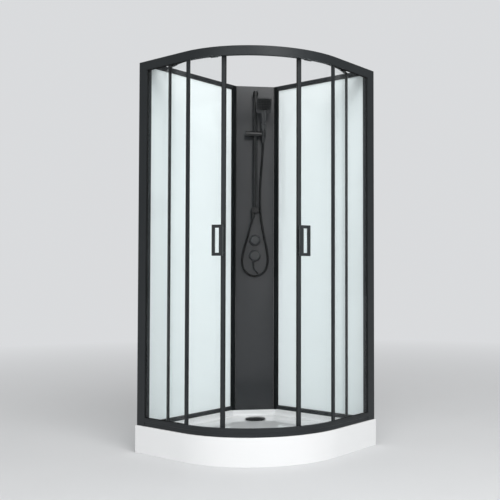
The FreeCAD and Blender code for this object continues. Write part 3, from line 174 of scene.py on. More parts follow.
class Mixer:
    """Adds and joins the nodes of one finish, or of the world."""

    NOISE_LOW = 0.25
    NOISE_HIGH = 0.75
    TINT_LOW = 0.3
    TINT_HIGH = 0.7

    def __init__(self, owner: bpy.types.ID, end: str = "ShaderNodeOutputMaterial") -> None:
        """Clears the owner's tree and starts from its output.

        Args:
            owner: the material or the world.
            end: the type of its output node.
        """
        owner.use_nodes = True
        self.tree = owner.node_tree
        self.tree.nodes.clear()
        self.end = self.tree.nodes.new(end)
        coordinates = self.tree.nodes.new("ShaderNodeTexCoord")
        self.place = coordinates.outputs["Object"]

    def add(self, kind: str, **values: object) -> bpy.types.Node:
        """Adds a node and sets its inputs.

        Args:
            kind: the node's type.
            values: input names, with _ for a blank, and their values or the sockets that feed them.

        Returns:
            The node.
        """
        node = self.tree.nodes.new(kind)
        for name, value in values.items():
            self.feed(node, name.replace("_", " "), value)
        return node

    def feed(self, node: bpy.types.Node, name: str | int, value: object) -> None:
        """Sets one input of a node, or links the socket that feeds it.

        Args:
            node: the node.
            name: the input's name or its number.
            value: a socket, number or colour.
        """
        if isinstance(value, bpy.types.NodeSocket):
            self.tree.links.new(value, node.inputs[name])
        else:
            node.inputs[name].default_value = value

    def maths(self, operation: str, *values: object) -> bpy.types.NodeSocket:
        """Works out one value from others.

        Args:
            operation: what is done with them.
            values: numbers, or sockets that give them.

        Returns:
            The result's socket.
        """
        node = self.add("ShaderNodeMath")
        node.operation = operation
        for number, value in enumerate(values):
            self.feed(node, number, value)
        return node.outputs[0]

    def noise(self, scale: float, detail: float) -> bpy.types.NodeSocket:
        """Gives a noise over the surface, from its features to the metre and its octaves."""
        node = self.add("ShaderNodeTexNoise", Vector=self.place, Scale=scale, Detail=detail)
        return node.outputs["Fac"]

    def between(self, value: bpy.types.NodeSocket, low: float, high: float) -> bpy.types.NodeSocket:
        """Maps a noise value to a range.

        Args:
            value: the value's socket.
            low: result where the noise is low.
            high: result where the noise is high.

        Returns:
            The mapped value's socket.
        """
        span = {"From_Min": self.NOISE_LOW, "From_Max": self.NOISE_HIGH, "To_Min": low, "To_Max": high}
        node = self.add("ShaderNodeMapRange", Value=value, **span)
        return node.outputs[0]

    def tint(self, value: bpy.types.NodeSocket, low: Colour, high: Colour) -> bpy.types.NodeSocket:
        """Mixes two colours by a value.

        Args:
            value: the value's socket.
            low: colour where the value is low.
            high: colour where the value is high.

        Returns:
            The colour's socket.
        """
        node = self.add("ShaderNodeValToRGB", Fac=value)
        stops = node.color_ramp.elements
        stops[0].position = self.TINT_LOW
        stops[1].position = self.TINT_HIGH
        stops[0].color = (*low, 1.0)
        stops[1].color = (*high, 1.0)
        return node.outputs["Color"]

    def relief(self, height: bpy.types.NodeSocket, depth: float) -> bpy.types.NodeSocket:
        """Gives a normal from a height of 0 to 1 and the metres between its lowest and highest."""
        node = self.add("ShaderNodeBump", Height=height, Distance=depth)
        return node.outputs[0]

    def surface(self, **values: object) -> bpy.types.Node:
        """Adds the main surface shader and sends it to the output.

        Args:
            values: the shader's inputs, as add takes them.

        Returns:
            The shader.
        """
        node = self.add("ShaderNodeBsdfPrincipled", **values)
        self.tree.links.new(node.outputs[0], self.end.inputs["Surface"])
        return node

    def either(self, share: bpy.types.NodeSocket, first: bpy.types.Node, second: bpy.types.Node) -> None:
        """Mixes two shaders and sends the mix to the output.

        Args:
            share: the socket that gives the second shader's share.
            first: the first shader.
            second: the second shader.
        """
        both = self.add("ShaderNodeMixShader", Fac=share)
        self.tree.links.new(first.outputs[0], both.inputs[1])
        self.tree.links.new(second.outputs[0], both.inputs[2])
        self.tree.links.new(both.outputs[0], self.end.inputs["Surface"])


@dataclass(frozen=True)
class Finish:
    """A surface finish with a name of its own."""

    name: str

    def grow(self, mixer: Mixer) -> None:
        """Builds the finish's nodes."""
        raise NotImplementedError

    def material(self) -> bpy.types.Material:
        """Gives the finish's material, which is made once.

        Returns:
            The material.
        """
        found = bpy.data.materials.get(self.name)
        if found is None:
            found = bpy.data.materials.new(self.name)
            self.grow(Mixer(found))
        return found


@dataclass(frozen=True)
class Lacquer(Finish):
    """Painted, moulded or cast surface with a soft cloud in its colour and a fine grain."""

    dark: Colour
    light: Colour
    sheen: Sheen = Sheen.SATIN
    rough: float = 0.4
    rough_spread: float = 0.05
    cloud: float = 5.0
    grain: float = 900.0
    grain_depth: float = 0.00004
    specular: float = 0.5
    cloud_detail: float = 3.0
    drift_ratio: float = 6.0
    drift_detail: float = 2.0
    grain_detail: float = 1.0

    def grow(self, mixer: Mixer) -> None:
        """Builds colour cloud, roughness drift and grain.

        Args:
            mixer: the nodes of the finish's material.
        """
        cloud = mixer.noise(self.cloud, self.cloud_detail)
        drift = mixer.noise(self.cloud * self.drift_ratio, self.drift_detail)
        grain = mixer.noise(self.grain, self.grain_detail)
        coat, coat_rough = self.sheen.value
        mixer.surface(
            Base_Color=mixer.tint(cloud, self.dark, self.light),
            Roughness=mixer.between(drift, self.rough - self.rough_spread, self.rough + self.rough_spread),
            Normal=mixer.relief(grain, self.grain_depth),
            Specular_IOR_Level=self.specular,
            Coat_Weight=coat,
            Coat_Roughness=coat_rough,
        )


@dataclass(frozen=True)
class Metal(Finish):
    """Bare metal with crystal spots and a fine grain."""

    dark: Colour
    light: Colour
    rough: float = 0.35
    spots: float = 120.0
    rough_spread: float = 0.08
    drift_ratio: float = 0.4
    drift_detail: float = 2.0
    grain_depth: float = 0.00002

    def grow(self, mixer: Mixer) -> None:
        """Builds spots, roughness and a fine grain.

        Args:
            mixer: the nodes of the finish's material.
        """
        cells = mixer.add("ShaderNodeTexVoronoi", Vector=mixer.place, Scale=self.spots)
        drift = mixer.noise(self.spots * self.drift_ratio, self.drift_detail)
        mixer.surface(
            Base_Color=mixer.tint(cells.outputs["Color"], self.dark, self.light),
            Metallic=1.0,
            Roughness=mixer.between(drift, self.rough - self.rough_spread, self.rough + self.rough_spread),
            Normal=mixer.relief(drift, self.grain_depth),
        )


@dataclass(frozen=True)
class ClearPane(Finish):
    """Clear toughened glass that lets lamp light through."""

    low: Colour = (0.974, 0.986, 0.985)
    high: Colour = (0.985, 0.994, 0.993)
    bending: float = 1.18
    specular: float = 0.05
    film: float = 3.0
    film_detail: float = 2.0
    haze: float = 9.0
    haze_detail: float = 3.0
    haze_rough: float = 0.012

    def grow(self, mixer: Mixer) -> None:
        """Builds the glass and its stand-in for rays from lamps.

        Args:
            mixer: the nodes of the finish's material.
        """
        film = mixer.noise(self.film, self.film_detail)
        haze = mixer.noise(self.haze, self.haze_detail)
        glass = mixer.surface(
            Base_Color=mixer.tint(film, self.low, self.high),
            Roughness=mixer.between(haze, 0.0, self.haze_rough),
            Transmission_Weight=1.0,
            IOR=self.bending,
            Specular_IOR_Level=self.specular,
        )
        open_way = mixer.add("ShaderNodeBsdfTransparent", Color=(*self.low, 1.0))
        path = mixer.add("ShaderNodeLightPath")
        mixer.either(path.outputs["Is Shadow Ray"], glass, open_way)


FRAME_PAINT = Lacquer(
    "frame_powder_coat", (0.0172, 0.0202, 0.0224), (0.0204, 0.0236, 0.0258), Sheen.MATT,
    rough=0.40, specular=0.28)
# Corner posts: the frame's powder coat painted darker, as painted shade for the back corner where they
# stand.
POST_SHADED_PAINT = Lacquer(
    "post_coat_painted_shade", (0.0045, 0.0058, 0.0064), (0.0062, 0.0076, 0.0082), Sheen.MATT,
    rough=0.44, specular=0.16)
COLUMN_PAINT = Lacquer(
    "column_satin_lacquer", (0.0235, 0.0256, 0.0280), (0.0262, 0.0284, 0.0308), Sheen.MATT,
    rough=0.21, rough_spread=0.012, grain=500.0, grain_depth=0.000012)
KNOB_COAT = Lacquer(
    "knob_soft_coat", (0.0270, 0.0290, 0.0310), (0.0310, 0.0330, 0.0350), Sheen.MATT,
    rough=0.33, specular=0.42)
BLACK_FITTING = Lacquer(
    "black_fitting_coat", (0.0030, 0.0036, 0.0041), (0.0044, 0.0051, 0.0057), Sheen.MATT,
    rough=0.16, specular=0.4)
# Hand shower: the black fitting coat painted lighter, as a painted highlight on its grip.
HANDSET_LIT_COAT = Lacquer(
    "handset_black_painted_highlight", (0.0185, 0.0200, 0.0215), (0.0225, 0.0240, 0.0255), Sheen.MATT, rough=0.25)
HOSE_COVER = Lacquer(
    "hose_cover", (0.0026, 0.0030, 0.0034), (0.0042, 0.0047, 0.0052), Sheen.MATT,
    rough=0.14, grain=1400.0, specular=0.3)
SPRAY_FACE = Lacquer(
    "spray_face", (0.0040, 0.0046, 0.0050), (0.0060, 0.0066, 0.0070), Sheen.MATT, rough=0.5, specular=0.2)
NOZZLE_RUBBER = Lacquer("nozzle_rubber", (0.018, 0.019, 0.020), (0.026, 0.027, 0.028), Sheen.MATT, rough=0.6)
ACRYLIC = Lacquer(
    "white_acrylic", (0.83, 0.84, 0.845), (0.86, 0.865, 0.87), Sheen.GLOSS,
    rough=0.24, rough_spread=0.03, cloud=3.0, grain=60.0, grain_depth=0.00002, specular=0.15)
OPAL_PANE = Lacquer(
    "opal_back_glass", (0.878, 0.940, 0.948), (0.890, 0.952, 0.960), Sheen.GLOSS,
    rough=0.3, rough_spread=0.02, cloud=1.5, grain=400.0, grain_depth=0.000004)
COVER_BLACK = Lacquer("drain_cover_black", (0.006, 0.007, 0.008), (0.010, 0.011, 0.012), rough=0.34)
GREY_PLASTIC = Lacquer("grey_waste_plastic", (0.30, 0.31, 0.32), (0.36, 0.37, 0.38), rough=0.45)
NYLON = Lacquer("roller_nylon", (0.62, 0.62, 0.60), (0.70, 0.70, 0.68), Sheen.MATT, rough=0.5)
GASKET = Lacquer(
    "black_gasket", (0.008, 0.0085, 0.009), (0.013, 0.0135, 0.014), Sheen.MATT, rough=0.62, specular=0.3)
SEALANT = Lacquer("white_sealant", (0.80, 0.81, 0.81), (0.85, 0.855, 0.855), rough=0.35)
FOOT_RUBBER = Lacquer(
    "black_foot_rubber", (0.012, 0.012, 0.012), (0.022, 0.022, 0.022), Sheen.MATT, rough=0.75)
STEEL = Metal("zinc_plated_steel", (0.50, 0.51, 0.53), (0.66, 0.67, 0.69))
DARK_STEEL = Metal("blackened_steel", (0.035, 0.036, 0.038), (0.06, 0.061, 0.063), rough=0.4)
BRASS = Metal("cast_brass", (0.55, 0.42, 0.20), (0.66, 0.52, 0.28), rough=0.32, spots=300.0)
CLEAR = ClearPane("clear_toughened_glass")


def dress(finish: Finish, *nodes: str) -> None:
    """Puts a finish on CAD nodes.

    Args:
        finish: the finish.
        nodes: the nodes' names.
    """
    for node in nodes:
        shape = frame["nodes"][node]
        for place in shape.material_slots:
            place.material = finish.material()
        if not shape.material_slots:
            shape.data.materials.append(finish.material())
        LOG.info("dressed %s in %s", node, finish.name)


@dataclass(frozen=True)
class Ring:
    """One ring of a turned shape: its radius, its height and how many flats it has."""

    radius: float
    height: float
    flats: int = 0

    def reach(self, angle: float) -> float:
        """Gives the ring's radius at an angle, where radius is that of the flats.

        Args:
            angle: the angle in radians.

        Returns:
            The radius there.
        """
        if not self.flats:
            return self.radius
        step = math.tau / self.flats
        return self.radius / math.cos((angle + step / 2) % step - step / 2)

    def point(self, angle: float) -> Vector:
        """Gives the ring's point at an angle."""
        reach = self.reach(angle)
        return Vector((reach * math.cos(angle), reach * math.sin(angle), self.height))

    def scaled(self, factor: float) -> "Ring":
        """Gives the same ring at another size."""
        return Ring(self.radius * factor, self.height * factor, self.flats)


class Bench:
    """Gathers the points and faces of one piece."""

    SCREW_HEAD = (
        Ring(0.94, -0.12), Ring(1.0, 0.08), Ring(0.98, 0.30), Ring(0.80, 0.55), Ring(0.52, 0.62),
        Ring(0.42, 0.60, HEXAGON), Ring(0.40, 0.22, HEXAGON))
    SCREW_POINTS = 24
    NUT_END = 0.96
    NUT_LOW = 0.16
    NUT_HIGH = 0.84
    NUT_POINTS = 36
    BEAD_STEPS = 6
    BEAD_RISE = 1.1
    BEAD_SINK = 0.1

    def __init__(self) -> None:
        """Starts with an empty piece."""
        self.points: list[Vector] = []
        self.faces: list[list[int]] = []

    def skin(self, rings: Sequence[Sequence[Vector]]) -> None:
        """Joins closed rings of points and caps both ends.

        Args:
            rings: rings with the same number of points, in order.
        """
        first = len(self.points)
        count = len(rings[0])
        for ring in rings:
            self.points.extend(ring)
        for row in range(len(rings) - 1):
            for step in range(count):
                after = (step + 1) % count
                low = first + row * count
                high = low + count
                self.faces.append([low + step, low + after, high + after, high + step])
        last = first + (len(rings) - 1) * count
        self.faces.append([first + step for step in reversed(range(count))])
        self.faces.append([last + step for step in range(count)])

    def turned(self, rings: Sequence[Ring], place: Matrix, around: int) -> None:
        """Adds a turned shape.

        Args:
            rings: its rings from foot to top.
            place: where it stands, with Z as its axis.
            around: points to a ring.
        """
        angles = [math.tau * step / around for step in range(around)]
        self.skin([[place @ ring.point(angle) for angle in angles] for ring in rings])

    def bead(self, line: Sequence[Vector], outs: Sequence[Vector], width: float, height: float) -> None:
        """Adds a bead with a rounded back along a line.

        Args:
            line: the points under the middle of its foot.
            outs: the direction in which it stands up at each point.
            width: width of its foot.
            height: how far it stands up.
        """
        turns = [math.pi * step / self.BEAD_STEPS for step in range(self.BEAD_STEPS + 1)]
        lifts = [height * (self.BEAD_RISE * math.sin(turn) - self.BEAD_SINK) for turn in turns]
        rings = []
        for spot, out, run in zip(line, outs, headings(line)):
            aside = out.cross(run).normalized() * (width / 2)
            rings.append([spot + aside * math.cos(turn) + out * lift for turn, lift in zip(turns, lifts)])
        self.skin(rings)

    def strip(self, start: Vector, end: Vector, out: Vector, width: float, height: float) -> None:
        """Adds a straight bead between two points."""
        self.bead([start, end], [out, out], width, height)

    def screw(self, place: Matrix, radius: float) -> None:
        """Adds a pan-headed screw with a hexagon socket, its seat at the place's origin."""
        self.turned([ring.scaled(radius) for ring in self.SCREW_HEAD], place, self.SCREW_POINTS)

    def nut(self, place: Matrix, flats: float, height: float) -> None:
        """Adds a hexagon nut with bevelled ends.

        Args:
            place: where its foot stands, with Z as its axis.
            flats: metres from its axis to its flats.
            height: its height.
        """
        end = flats * self.NUT_END
        low = Ring(flats, height * self.NUT_LOW, HEXAGON)
        high = Ring(flats, height * self.NUT_HIGH, HEXAGON)
        self.turned([Ring(end, 0.0), low, high, Ring(end, height)], place, self.NUT_POINTS)

    def tube(self, line: Sequence[Vector], radii: Sequence[float], around: int) -> None:
        """Adds a tube along a line.

        Args:
            line: the points that it follows.
            radii: its radius at each point.
            around: points to a ring.
        """
        angles = [math.tau * step / around for step in range(around)]
        runs = headings(line)
        aside = runs[0].orthogonal().normalized()
        rings = []
        for spot, run, radius in zip(line, runs, radii):
            aside = (aside - run * aside.dot(run)).normalized()
            other = run.cross(aside)
            rings.append([spot + (aside * math.cos(a) + other * math.sin(a)) * radius for a in angles])
        self.skin(rings)

    def piece(self, name: str, finish: Finish, body: str | None) -> bpy.types.Object:
        """Makes the object, dresses it and sets it on a body.

        Args:
            name: the piece's name.
            finish: its finish.
            body: the body that carries it, or None where it bends between two.

        Returns:
            The object.
        """
        mesh = bpy.data.meshes.new(name)
        mesh.from_pydata([tuple(spot) for spot in self.points], [], self.faces)
        mesh.validate()
        shell = bmesh.new()
        shell.from_mesh(mesh)
        bmesh.ops.recalc_face_normals(shell, faces=shell.faces)
        shell.to_mesh(mesh)
        shell.free()
        mesh.materials.append(finish.material())
        mesh.set_sharp_from_angle(angle=CREASE)
        made = bpy.data.objects.new(name, mesh)
        bpy.context.collection.objects.link(made)
        for face in mesh.polygons:
            face.use_smooth = True
        if body is not None:
            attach(made, body)
        LOG.info("built %s with %d faces", name, len(mesh.polygons))
        return made


@dataclass
class Hose:
    """The hose from the rail's foot, round the knobs and up to the hand shower."""

    ROUTE: ClassVar[tuple[Point, ...]] = (
        (-0.012, 0.24858, 1.273), (-0.012, 0.24858, 1.253), (-0.020, 0.244, 1.226), (-0.030, 0.236, 1.190),
        (-0.043, 0.228, 1.142), (-0.058, 0.223, 1.090), (-0.071, 0.220, 1.042), (-0.077, 0.218, 0.995),
        (-0.067, 0.217, 0.951), (-0.039, 0.216, 0.920), (-0.001, 0.216, 0.909), (0.038, 0.216, 0.919),
        (0.066, 0.216, 0.948), (0.078, 0.216, 0.990), (0.076, 0.216, 1.035), (0.067, 0.216, 1.085),
        (0.054, 0.216, 1.145), (0.041, 0.217, 1.215), (0.031, 0.218, 1.285), (0.028, 0.219, 1.365),
        (0.031, 0.220, 1.450), (0.036, 0.221, 1.530), (0.041, 0.223, 1.595), (0.045, 0.226, 1.650),
        (0.046, 0.23061, 1.68308), (0.046, 0.23617, 1.70020),
    )
    LOWER_NUT: ClassVar[tuple[Ring, ...]] = (
        Ring(0.0078, 0.0), Ring(0.0096, 0.002), Ring(0.0100, 0.012, 12),
        Ring(0.0096, 0.021), Ring(0.0080, 0.022))

    diameter: float = 0.013
    around: int = 16
    smoothness: int = 48
    rib_pitch: float = 0.004
    rib_height: float = 0.00025
    ring_step: float = 0.0008
    neck: float = 0.028
    tail: float = 0.012
    bend_level: float = 1.088
    nut_drop: float = 0.021
    nut_points: int = 48

    def smooth(self) -> list[Vector]:
        """Reads the points of the smooth spline that has the route as its control points.

        Returns:
            The points from the rail's foot to the hand shower's nut.
        """
        curve = bpy.data.curves.new("hose_line", "CURVE")
        curve.dimensions = "3D"
        curve.resolution_u = self.smoothness
        spline = curve.splines.new("NURBS")
        spline.points.add(len(self.ROUTE) - 1)
        for point, spot in zip(spline.points, self.ROUTE):
            point.co = (*at_column(*spot), 1.0)
        spline.order_u = 3
        spline.use_endpoint_u = True
        guide = bpy.data.objects.new("hose_line", curve)
        bpy.context.collection.objects.link(guide)
        bpy.context.view_layer.update()
        mesh = bpy.data.meshes.new_from_object(guide)
        read = [vertex.co.copy() for vertex in mesh.vertices]
        bpy.data.meshes.remove(mesh)
        bpy.data.objects.remove(guide)
        bpy.data.curves.remove(curve)
        return read

    def line(self) -> list[Vector]:
        """Walks the smooth spline in even steps.

        Returns:
            One point for each of the hose's rings.
        """
        read = self.smooth()
        even = [read[0]]
        left = self.ring_step
        for start, end in zip(read, read[1:]):
            span = (end - start).length
            while left <= span:
                even.append(start.lerp(end, left / span))
                left += self.ring_step
            left -= span
        even.append(read[-1])
        return even

    def run(self, name: str, line: Sequence[Vector], body: str | None) -> bpy.types.Object:
        """Builds one ribbed run of the hose.

        Args:
            name: the run's name.
            line: the points that it follows.
            body: the body that it rides on, or None where it bends between two.

        Returns:
            The run.
        """
        turn = math.tau * self.ring_step / self.rib_pitch
        ribs = [self.rib_height * (math.cos(turn * step) - 1.0) for step in range(len(line))]
        bench = Bench()
        bench.tube(line, [self.diameter / 2 + rib for rib in ribs], self.around)
        return bench.piece(name, HOSE_COVER, body)

    def declare(
        self
    ) -> None:
        """Hides the solid hose of the CAD model.
        """
        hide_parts("shower_hose")

    def lower_nut(self, seat: Vector) -> bpy.types.Object:
        """Builds the nut that holds the hose on the rail's foot.

        Args:
            seat: where the hose leaves the rail's foot.

        Returns:
            The nut.
        """
        bench = Bench()
        bench.turned(self.LOWER_NUT, standing(seat - UP * self.nut_drop, UP), self.nut_points)
        return bench.piece("hose_lower_nut", BLACK_FITTING, "cabin")

    def build(self) -> None:
        """Builds the hose's four runs and its lower nut, and hides the solid hose."""
        line = self.line()
        split = len(line) - round(self.tail / self.ring_step)
        fork = split - round(self.neck / self.ring_step)
        low = min(range(fork), key=lambda ring: line[ring].z)
        low -= low % round(self.rib_pitch / self.ring_step)
        loop = self.run("hose_run", line[:low + 1], "cabin")
        rise = self.run("hose_rise", line[low:fork + 1], None)
        neck = self.run("hose_neck", line[fork:split + 1], None)
        tail = self.run("hose_tail", line[split:], None)
        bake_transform(rise)
        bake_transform(neck)
        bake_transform(tail)
        lower_nut = self.lower_nut(line[0])
        self.declare()
        self.declare()


@dataclass
class Tray:
    """The tray with what carries it and drains it."""

    STUDS: ClassVar[tuple[tuple[float, float], ...]] = (
        (-0.370, -0.200), (0.220, -0.200), (-0.370, 0.370), (0.115, 0.370), (0.115, 0.085))

    bar_foot: float = 0.069
    nut_flats: float = 0.0095
    nut_height: float = 0.008
    washer_radius: float = 0.014
    washer_height: float = 0.0015
    washer_edge: float = 0.0005
    washer_end: float = 0.97
    washer_points: int = 28

    def build(self) -> None:
        """Dresses tray, frame, feet, waste and cover, and adds the lock nuts."""
        dress(ACRYLIC, "shower_tray")
        dress(STEEL, "support_frame")
        dress(FOOT_RUBBER, "tray_feet")
        dress(GREY_PLASTIC, "waste_trap")
        dress(COVER_BLACK, "drain_cover")
        self.lock_nuts()

    def lock_nuts(self) -> None:
        """Sets a washer and a lock nut under the frame at each foot's stud."""
        bench = Bench()
        radius = self.washer_radius
        end = Ring(radius * self.washer_end, 0.0)
        washer = [end, Ring(radius, self.washer_edge), Ring(radius, self.washer_height)]
        for x, y in self.STUDS:
            spot = Vector((x, y, self.bar_foot))
            bench.turned(washer, standing(spot - UP * self.washer_height, UP), self.washer_points)
            seat = standing(spot - UP * (self.washer_height + self.nut_height), UP)
            bench.nut(seat, self.nut_flats, self.nut_height)
        bench.piece("foot_lock_nuts", STEEL, "cabin")


@dataclass
class Framework:
    """Wall profiles, rails, posts, panes and back panels."""

    CAP_OUTLINE: ClassVar[tuple[tuple[float, float], ...]] = (
        (0.0048, 0.0125), (0.0300, 0.0125), (0.0390, 0.0125), (0.0390, 0.0215), (0.0375, 0.0230),
        (0.0375, 0.0270), (0.0390, 0.0285), (0.0390, 0.0375), (0.0300, 0.0375), (0.0048, 0.0375))
    CAP_MIDDLE: ClassVar[tuple[float, float]] = (0.022, 0.025)
    SCREW_LEVELS: ClassVar[tuple[float, ...]] = (0.34, 1.09, 1.84)

    bead_width: float = 0.0035
    bead_height: float = 0.0016
    sealant_width: float = 0.006
    sealant_height: float = 0.0032
    sealant_lap: float = 0.001
    sealant_start: float = 0.02
    profile_edge: float = 0.062
    profile_inside: float = 0.042
    post_edge: float = 0.35975
    pane_front: float = 0.013
    pane_back: float = 0.019
    rail_top: float = 0.182
    head_foot: float = 1.991
    panel_face: float = 0.0505
    panel_end: float = 0.245
    panel_foot: float = 0.152
    panel_head: float = 2.015
    back_rail_face: float = 0.060
    ledge: float = 0.130
    rim: float = 0.140
    rail_foot_radius: float = 0.498
    rail_degrees: int = 44
    rail_step: int = 2
    cap_thickness: float = 0.003
    cap_edge: float = 0.0006
    cap_crown: float = 0.0001
    cap_shrink: float = 0.96
    screw_along: float = 0.0563
    screw_radius: float = 0.0036

    def build(self) -> None:
        """Dresses the framework and fits gaskets, sealant, caps and screws."""
        dress(FRAME_PAINT, "top_rail", "bottom_rail")
        dress(DARK_STEEL, "door_track")
        for side in Side:
            name = side.value
            dress(FRAME_PAINT, f"{name}_wall_profile", f"{name}_fixed_post")
            dress(STEEL, f"{name}_wall_channel")
            dress(CLEAR, f"{name}_fixed_glass")
            dress(FRAME_PAINT, f"{name}_back_bottom_rail", f"{name}_back_top_rail")
            dress(POST_SHADED_PAINT, f"{name}_corner_post")
            dress(OPAL_PANE, f"{name}_back_glass")
            self.pane_gasket(side)
            self.panel_gasket(side)
            self.panel_sealant(side)
            self.profile_cap(side)
            self.profile_screws(side)
        self.rail_sealant()

    def panel_edge(self) -> float:
        """Gives the inset of a back panel's edge beside the column."""
        return TRAY_SIDE - self.panel_end

    def border(self, near: float, far: float, foot: float, head: float) -> list[tuple[float, ...]]:
        """Gives the four runs of a bead just inside a rectangle's edges.

        Args:
            near: where the rectangle begins.
            far: where it ends.
            foot: its lower level.
            head: its upper level.

        Returns:
            The place and the level of each run's start, then those of its end.
        """
        half = self.bead_width / 2
        uprights = [(place, foot, place, head) for place in (near + half, far - half)]
        return uprights + [(near, level, far, level) for level in (foot + half, head - half)]

    def pane_gasket(self, side: Side) -> None:
        """Lays a gasket round both faces of a fixed pane.

        Args:
            side: the pane's side of the cabin.
        """
        bench = Bench()
        runs = self.border(self.profile_edge, self.post_edge, self.rail_top, self.head_foot)
        for inset, out in ((self.pane_front, -side.inwards()), (self.pane_back, side.inwards())):
            for along, level, along_end, level_end in runs:
                start = side.plan(along, inset, level)
                end = side.plan(along_end, inset, level_end)
                bench.strip(start, end, out, self.bead_width, self.bead_height)
        bench.piece(f"{side.value}_pane_gasket", GASKET, "cabin")

    def panel_gasket(self, side: Side) -> None:
        """Lays a gasket round the face of a back panel.

        Args:
            side: the panel's side of the cabin.
        """
        bench = Bench()
        runs = self.border(self.profile_inside, self.panel_edge(), self.panel_foot, self.panel_head)
        for inset, level, inset_end, level_end in runs:
            start = side.plan(self.panel_face, inset, level)
            end = side.plan(self.panel_face, inset_end, level_end)
            bench.strip(start, end, side.from_wall(), self.bead_width, self.bead_height)
        bench.piece(f"{side.value}_panel_gasket", GASKET, "cabin")

    def panel_sealant(self, side: Side) -> None:
        """Runs sealant along the foot of a back panel's rail.

        Args:
            side: the panel's side of the cabin.
        """
        bench = Bench()
        along = self.back_rail_face + self.sealant_width / 2 - self.sealant_lap
        start = side.plan(along, self.profile_inside + self.sealant_start, self.ledge)
        end = side.plan(along, self.panel_edge(), self.ledge)
        bench.strip(start, end, UP, self.sealant_width, self.sealant_height)
        bench.piece(f"{side.value}_panel_sealant", SEALANT, "cabin")

    def rail_sealant(self) -> None:
        """Runs sealant along the inner foot of the curved rail."""
        bench = Bench()
        radius = self.rail_foot_radius - self.sealant_width / 2 + self.sealant_lap
        turns = range(-self.rail_degrees, self.rail_degrees + 1, self.rail_step)
        line = [front_circle(math.radians(turn), radius, self.rim) for turn in turns]
        bench.bead(line, [UP] * len(line), self.sealant_width, self.sealant_height)
        bench.piece("rail_sealant", SEALANT, "cabin")

    def profile_cap(self, side: Side) -> None:
        """Closes the top of a wall profile with a cap that has a finger notch.

        Args:
            side: the profile's side of the cabin.
        """
        bench = Bench()
        top = self.cap_top()
        x, y = self.CAP_MIDDLE
        steps = ((self.cap_thickness, 1.0), (self.cap_edge, 1.0), (self.cap_crown, self.cap_shrink))
        rings = []
        for drop, shrink in steps:
            spots = [(x + (a - x) * shrink, y + (b - y) * shrink) for a, b in self.CAP_OUTLINE]
            rings.append([side.plan(a, b, top - drop) for a, b in spots])
        bench.skin(rings)
        bench.piece(f"{side.value}_profile_cap", BLACK_FITTING, "cabin")

    def cap_top(self) -> float:
        """Gives the level of the profiles' upper end."""
        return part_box("left_wall_profile")[1][2]

    def profile_screws(self, side: Side) -> None:
        """Sets the screws that hold a wall profile on its channel.

        Args:
            side: the profile's side of the cabin.
        """
        bench = Bench()
        for level in self.SCREW_LEVELS:
            seat = side.plan(self.screw_along, self.profile_inside, level)
            bench.screw(standing(seat, side.inwards()), self.screw_radius)
        bench.piece(f"{side.value}_profile_screws", DARK_STEEL, "cabin")


@dataclass
class Door:
    """One curved door with its stiles, handle, hangers, rollers and guide."""

    side: Side
    left_lead: float = 0.1937
    right_lead: float = 0.1846
    width: float = 0.3876
    radius: float = 0.510
    glass_half: float = 0.003
    stile_half: float = 0.009
    stile_inside: float = 0.503
    stile_foot: float = 0.156
    stile_head: float = 2.002
    gasket_width: float = 0.0030
    gasket_height: float = 0.0014
    gasket_rise: float = 0.003
    handle_level: float = 1.088
    handle_screw: float = 0.0042
    boss_spread: float = 0.120
    boss_aside: float = -0.00105
    chord: float = 0.01
    hanger_inset: float = 0.0534
    hanger_face: float = 0.5037
    hanger_screw: float = 0.0032
    hanger_screw_level: float = 1.9985
    hanger_screw_step: float = 0.012

    def build(self) -> None:
        """Dresses the door and fits its gaskets and screws."""
        name = self.side.value
        dress(CLEAR, f"{name}_door_glass")
        dress(FRAME_PAINT, f"{name}_lead_stile", f"{name}_trail_stile", f"{name}_handle")
        dress(GASKET, f"{name}_door_seal")
        dress(DARK_STEEL, f"{name}_lead_hanger", f"{name}_trail_hanger")
        dress(NYLON, f"{name}_lead_roller", f"{name}_trail_roller", f"{name}_foot_guide")
        self.stile_gaskets()
        self.screws()

    def lead(self) -> float:
        """Gives the arc from the doorway's middle to the leading stile."""
        return self.left_lead if self.side is Side.LEFT else self.right_lead

    def spot(self, arc: float, radius: float, level: float) -> Vector:
        """Gives a point from its arc along the door, its radius and its level."""
        return front_circle(self.side.sign * arc / self.radius, radius, level)

    def outwards(self, arc: float) -> Vector:
        """Gives the direction out of the cabin at an arc along the door."""
        return self.spot(arc, 1.0, 0.0) - self.spot(arc, 0.0, 0.0)

    def sidewards(self) -> Vector:
        """Gives the direction from the leading stile along the door."""
        start = self.spot(self.lead(), self.radius, 0.0)
        return (self.spot(self.lead() + self.chord, self.radius, 0.0) - start).normalized()

    def stile_gaskets(self) -> None:
        """Lays gaskets where the pane enters both stiles."""
        bench = Bench()
        aside = self.stile_half + self.gasket_width / 2
        for arc in (self.lead() + aside, self.lead() + self.width - aside):
            for turn in (-1, 1):
                out = self.outwards(arc) * turn
                face = self.radius + self.glass_half * turn
                start = self.spot(arc, face, self.stile_foot + self.gasket_rise)
                end = self.spot(arc, face, self.stile_head)
                bench.strip(start, end, out, self.gasket_width, self.gasket_height)
        bench.piece(f"{self.side.value}_stile_gasket", GASKET, f"{self.side.value}_door")

    def screws(self) -> None:
        """Sets the handle's screws in the stile and the hangers' clamp screws."""
        bench = Bench()
        inwards = -self.outwards(self.lead())
        for share in (-0.5, 0.5):
            level = self.handle_level + self.boss_spread * share
            foot = self.spot(self.lead(), self.stile_inside, level) + self.sidewards() * self.boss_aside
            bench.screw(standing(foot, inwards), self.handle_screw)
        for middle in (self.lead() + self.hanger_inset, self.lead() + self.width - self.hanger_inset):
            for step in (-self.hanger_screw_step, self.hanger_screw_step):
                foot = self.spot(middle + step, self.hanger_face, self.hanger_screw_level)
                bench.screw(standing(foot, -self.outwards(middle + step)), self.hanger_screw)
        bench.piece(f"{self.side.value}_door_screws", DARK_STEEL, f"{self.side.value}_door")


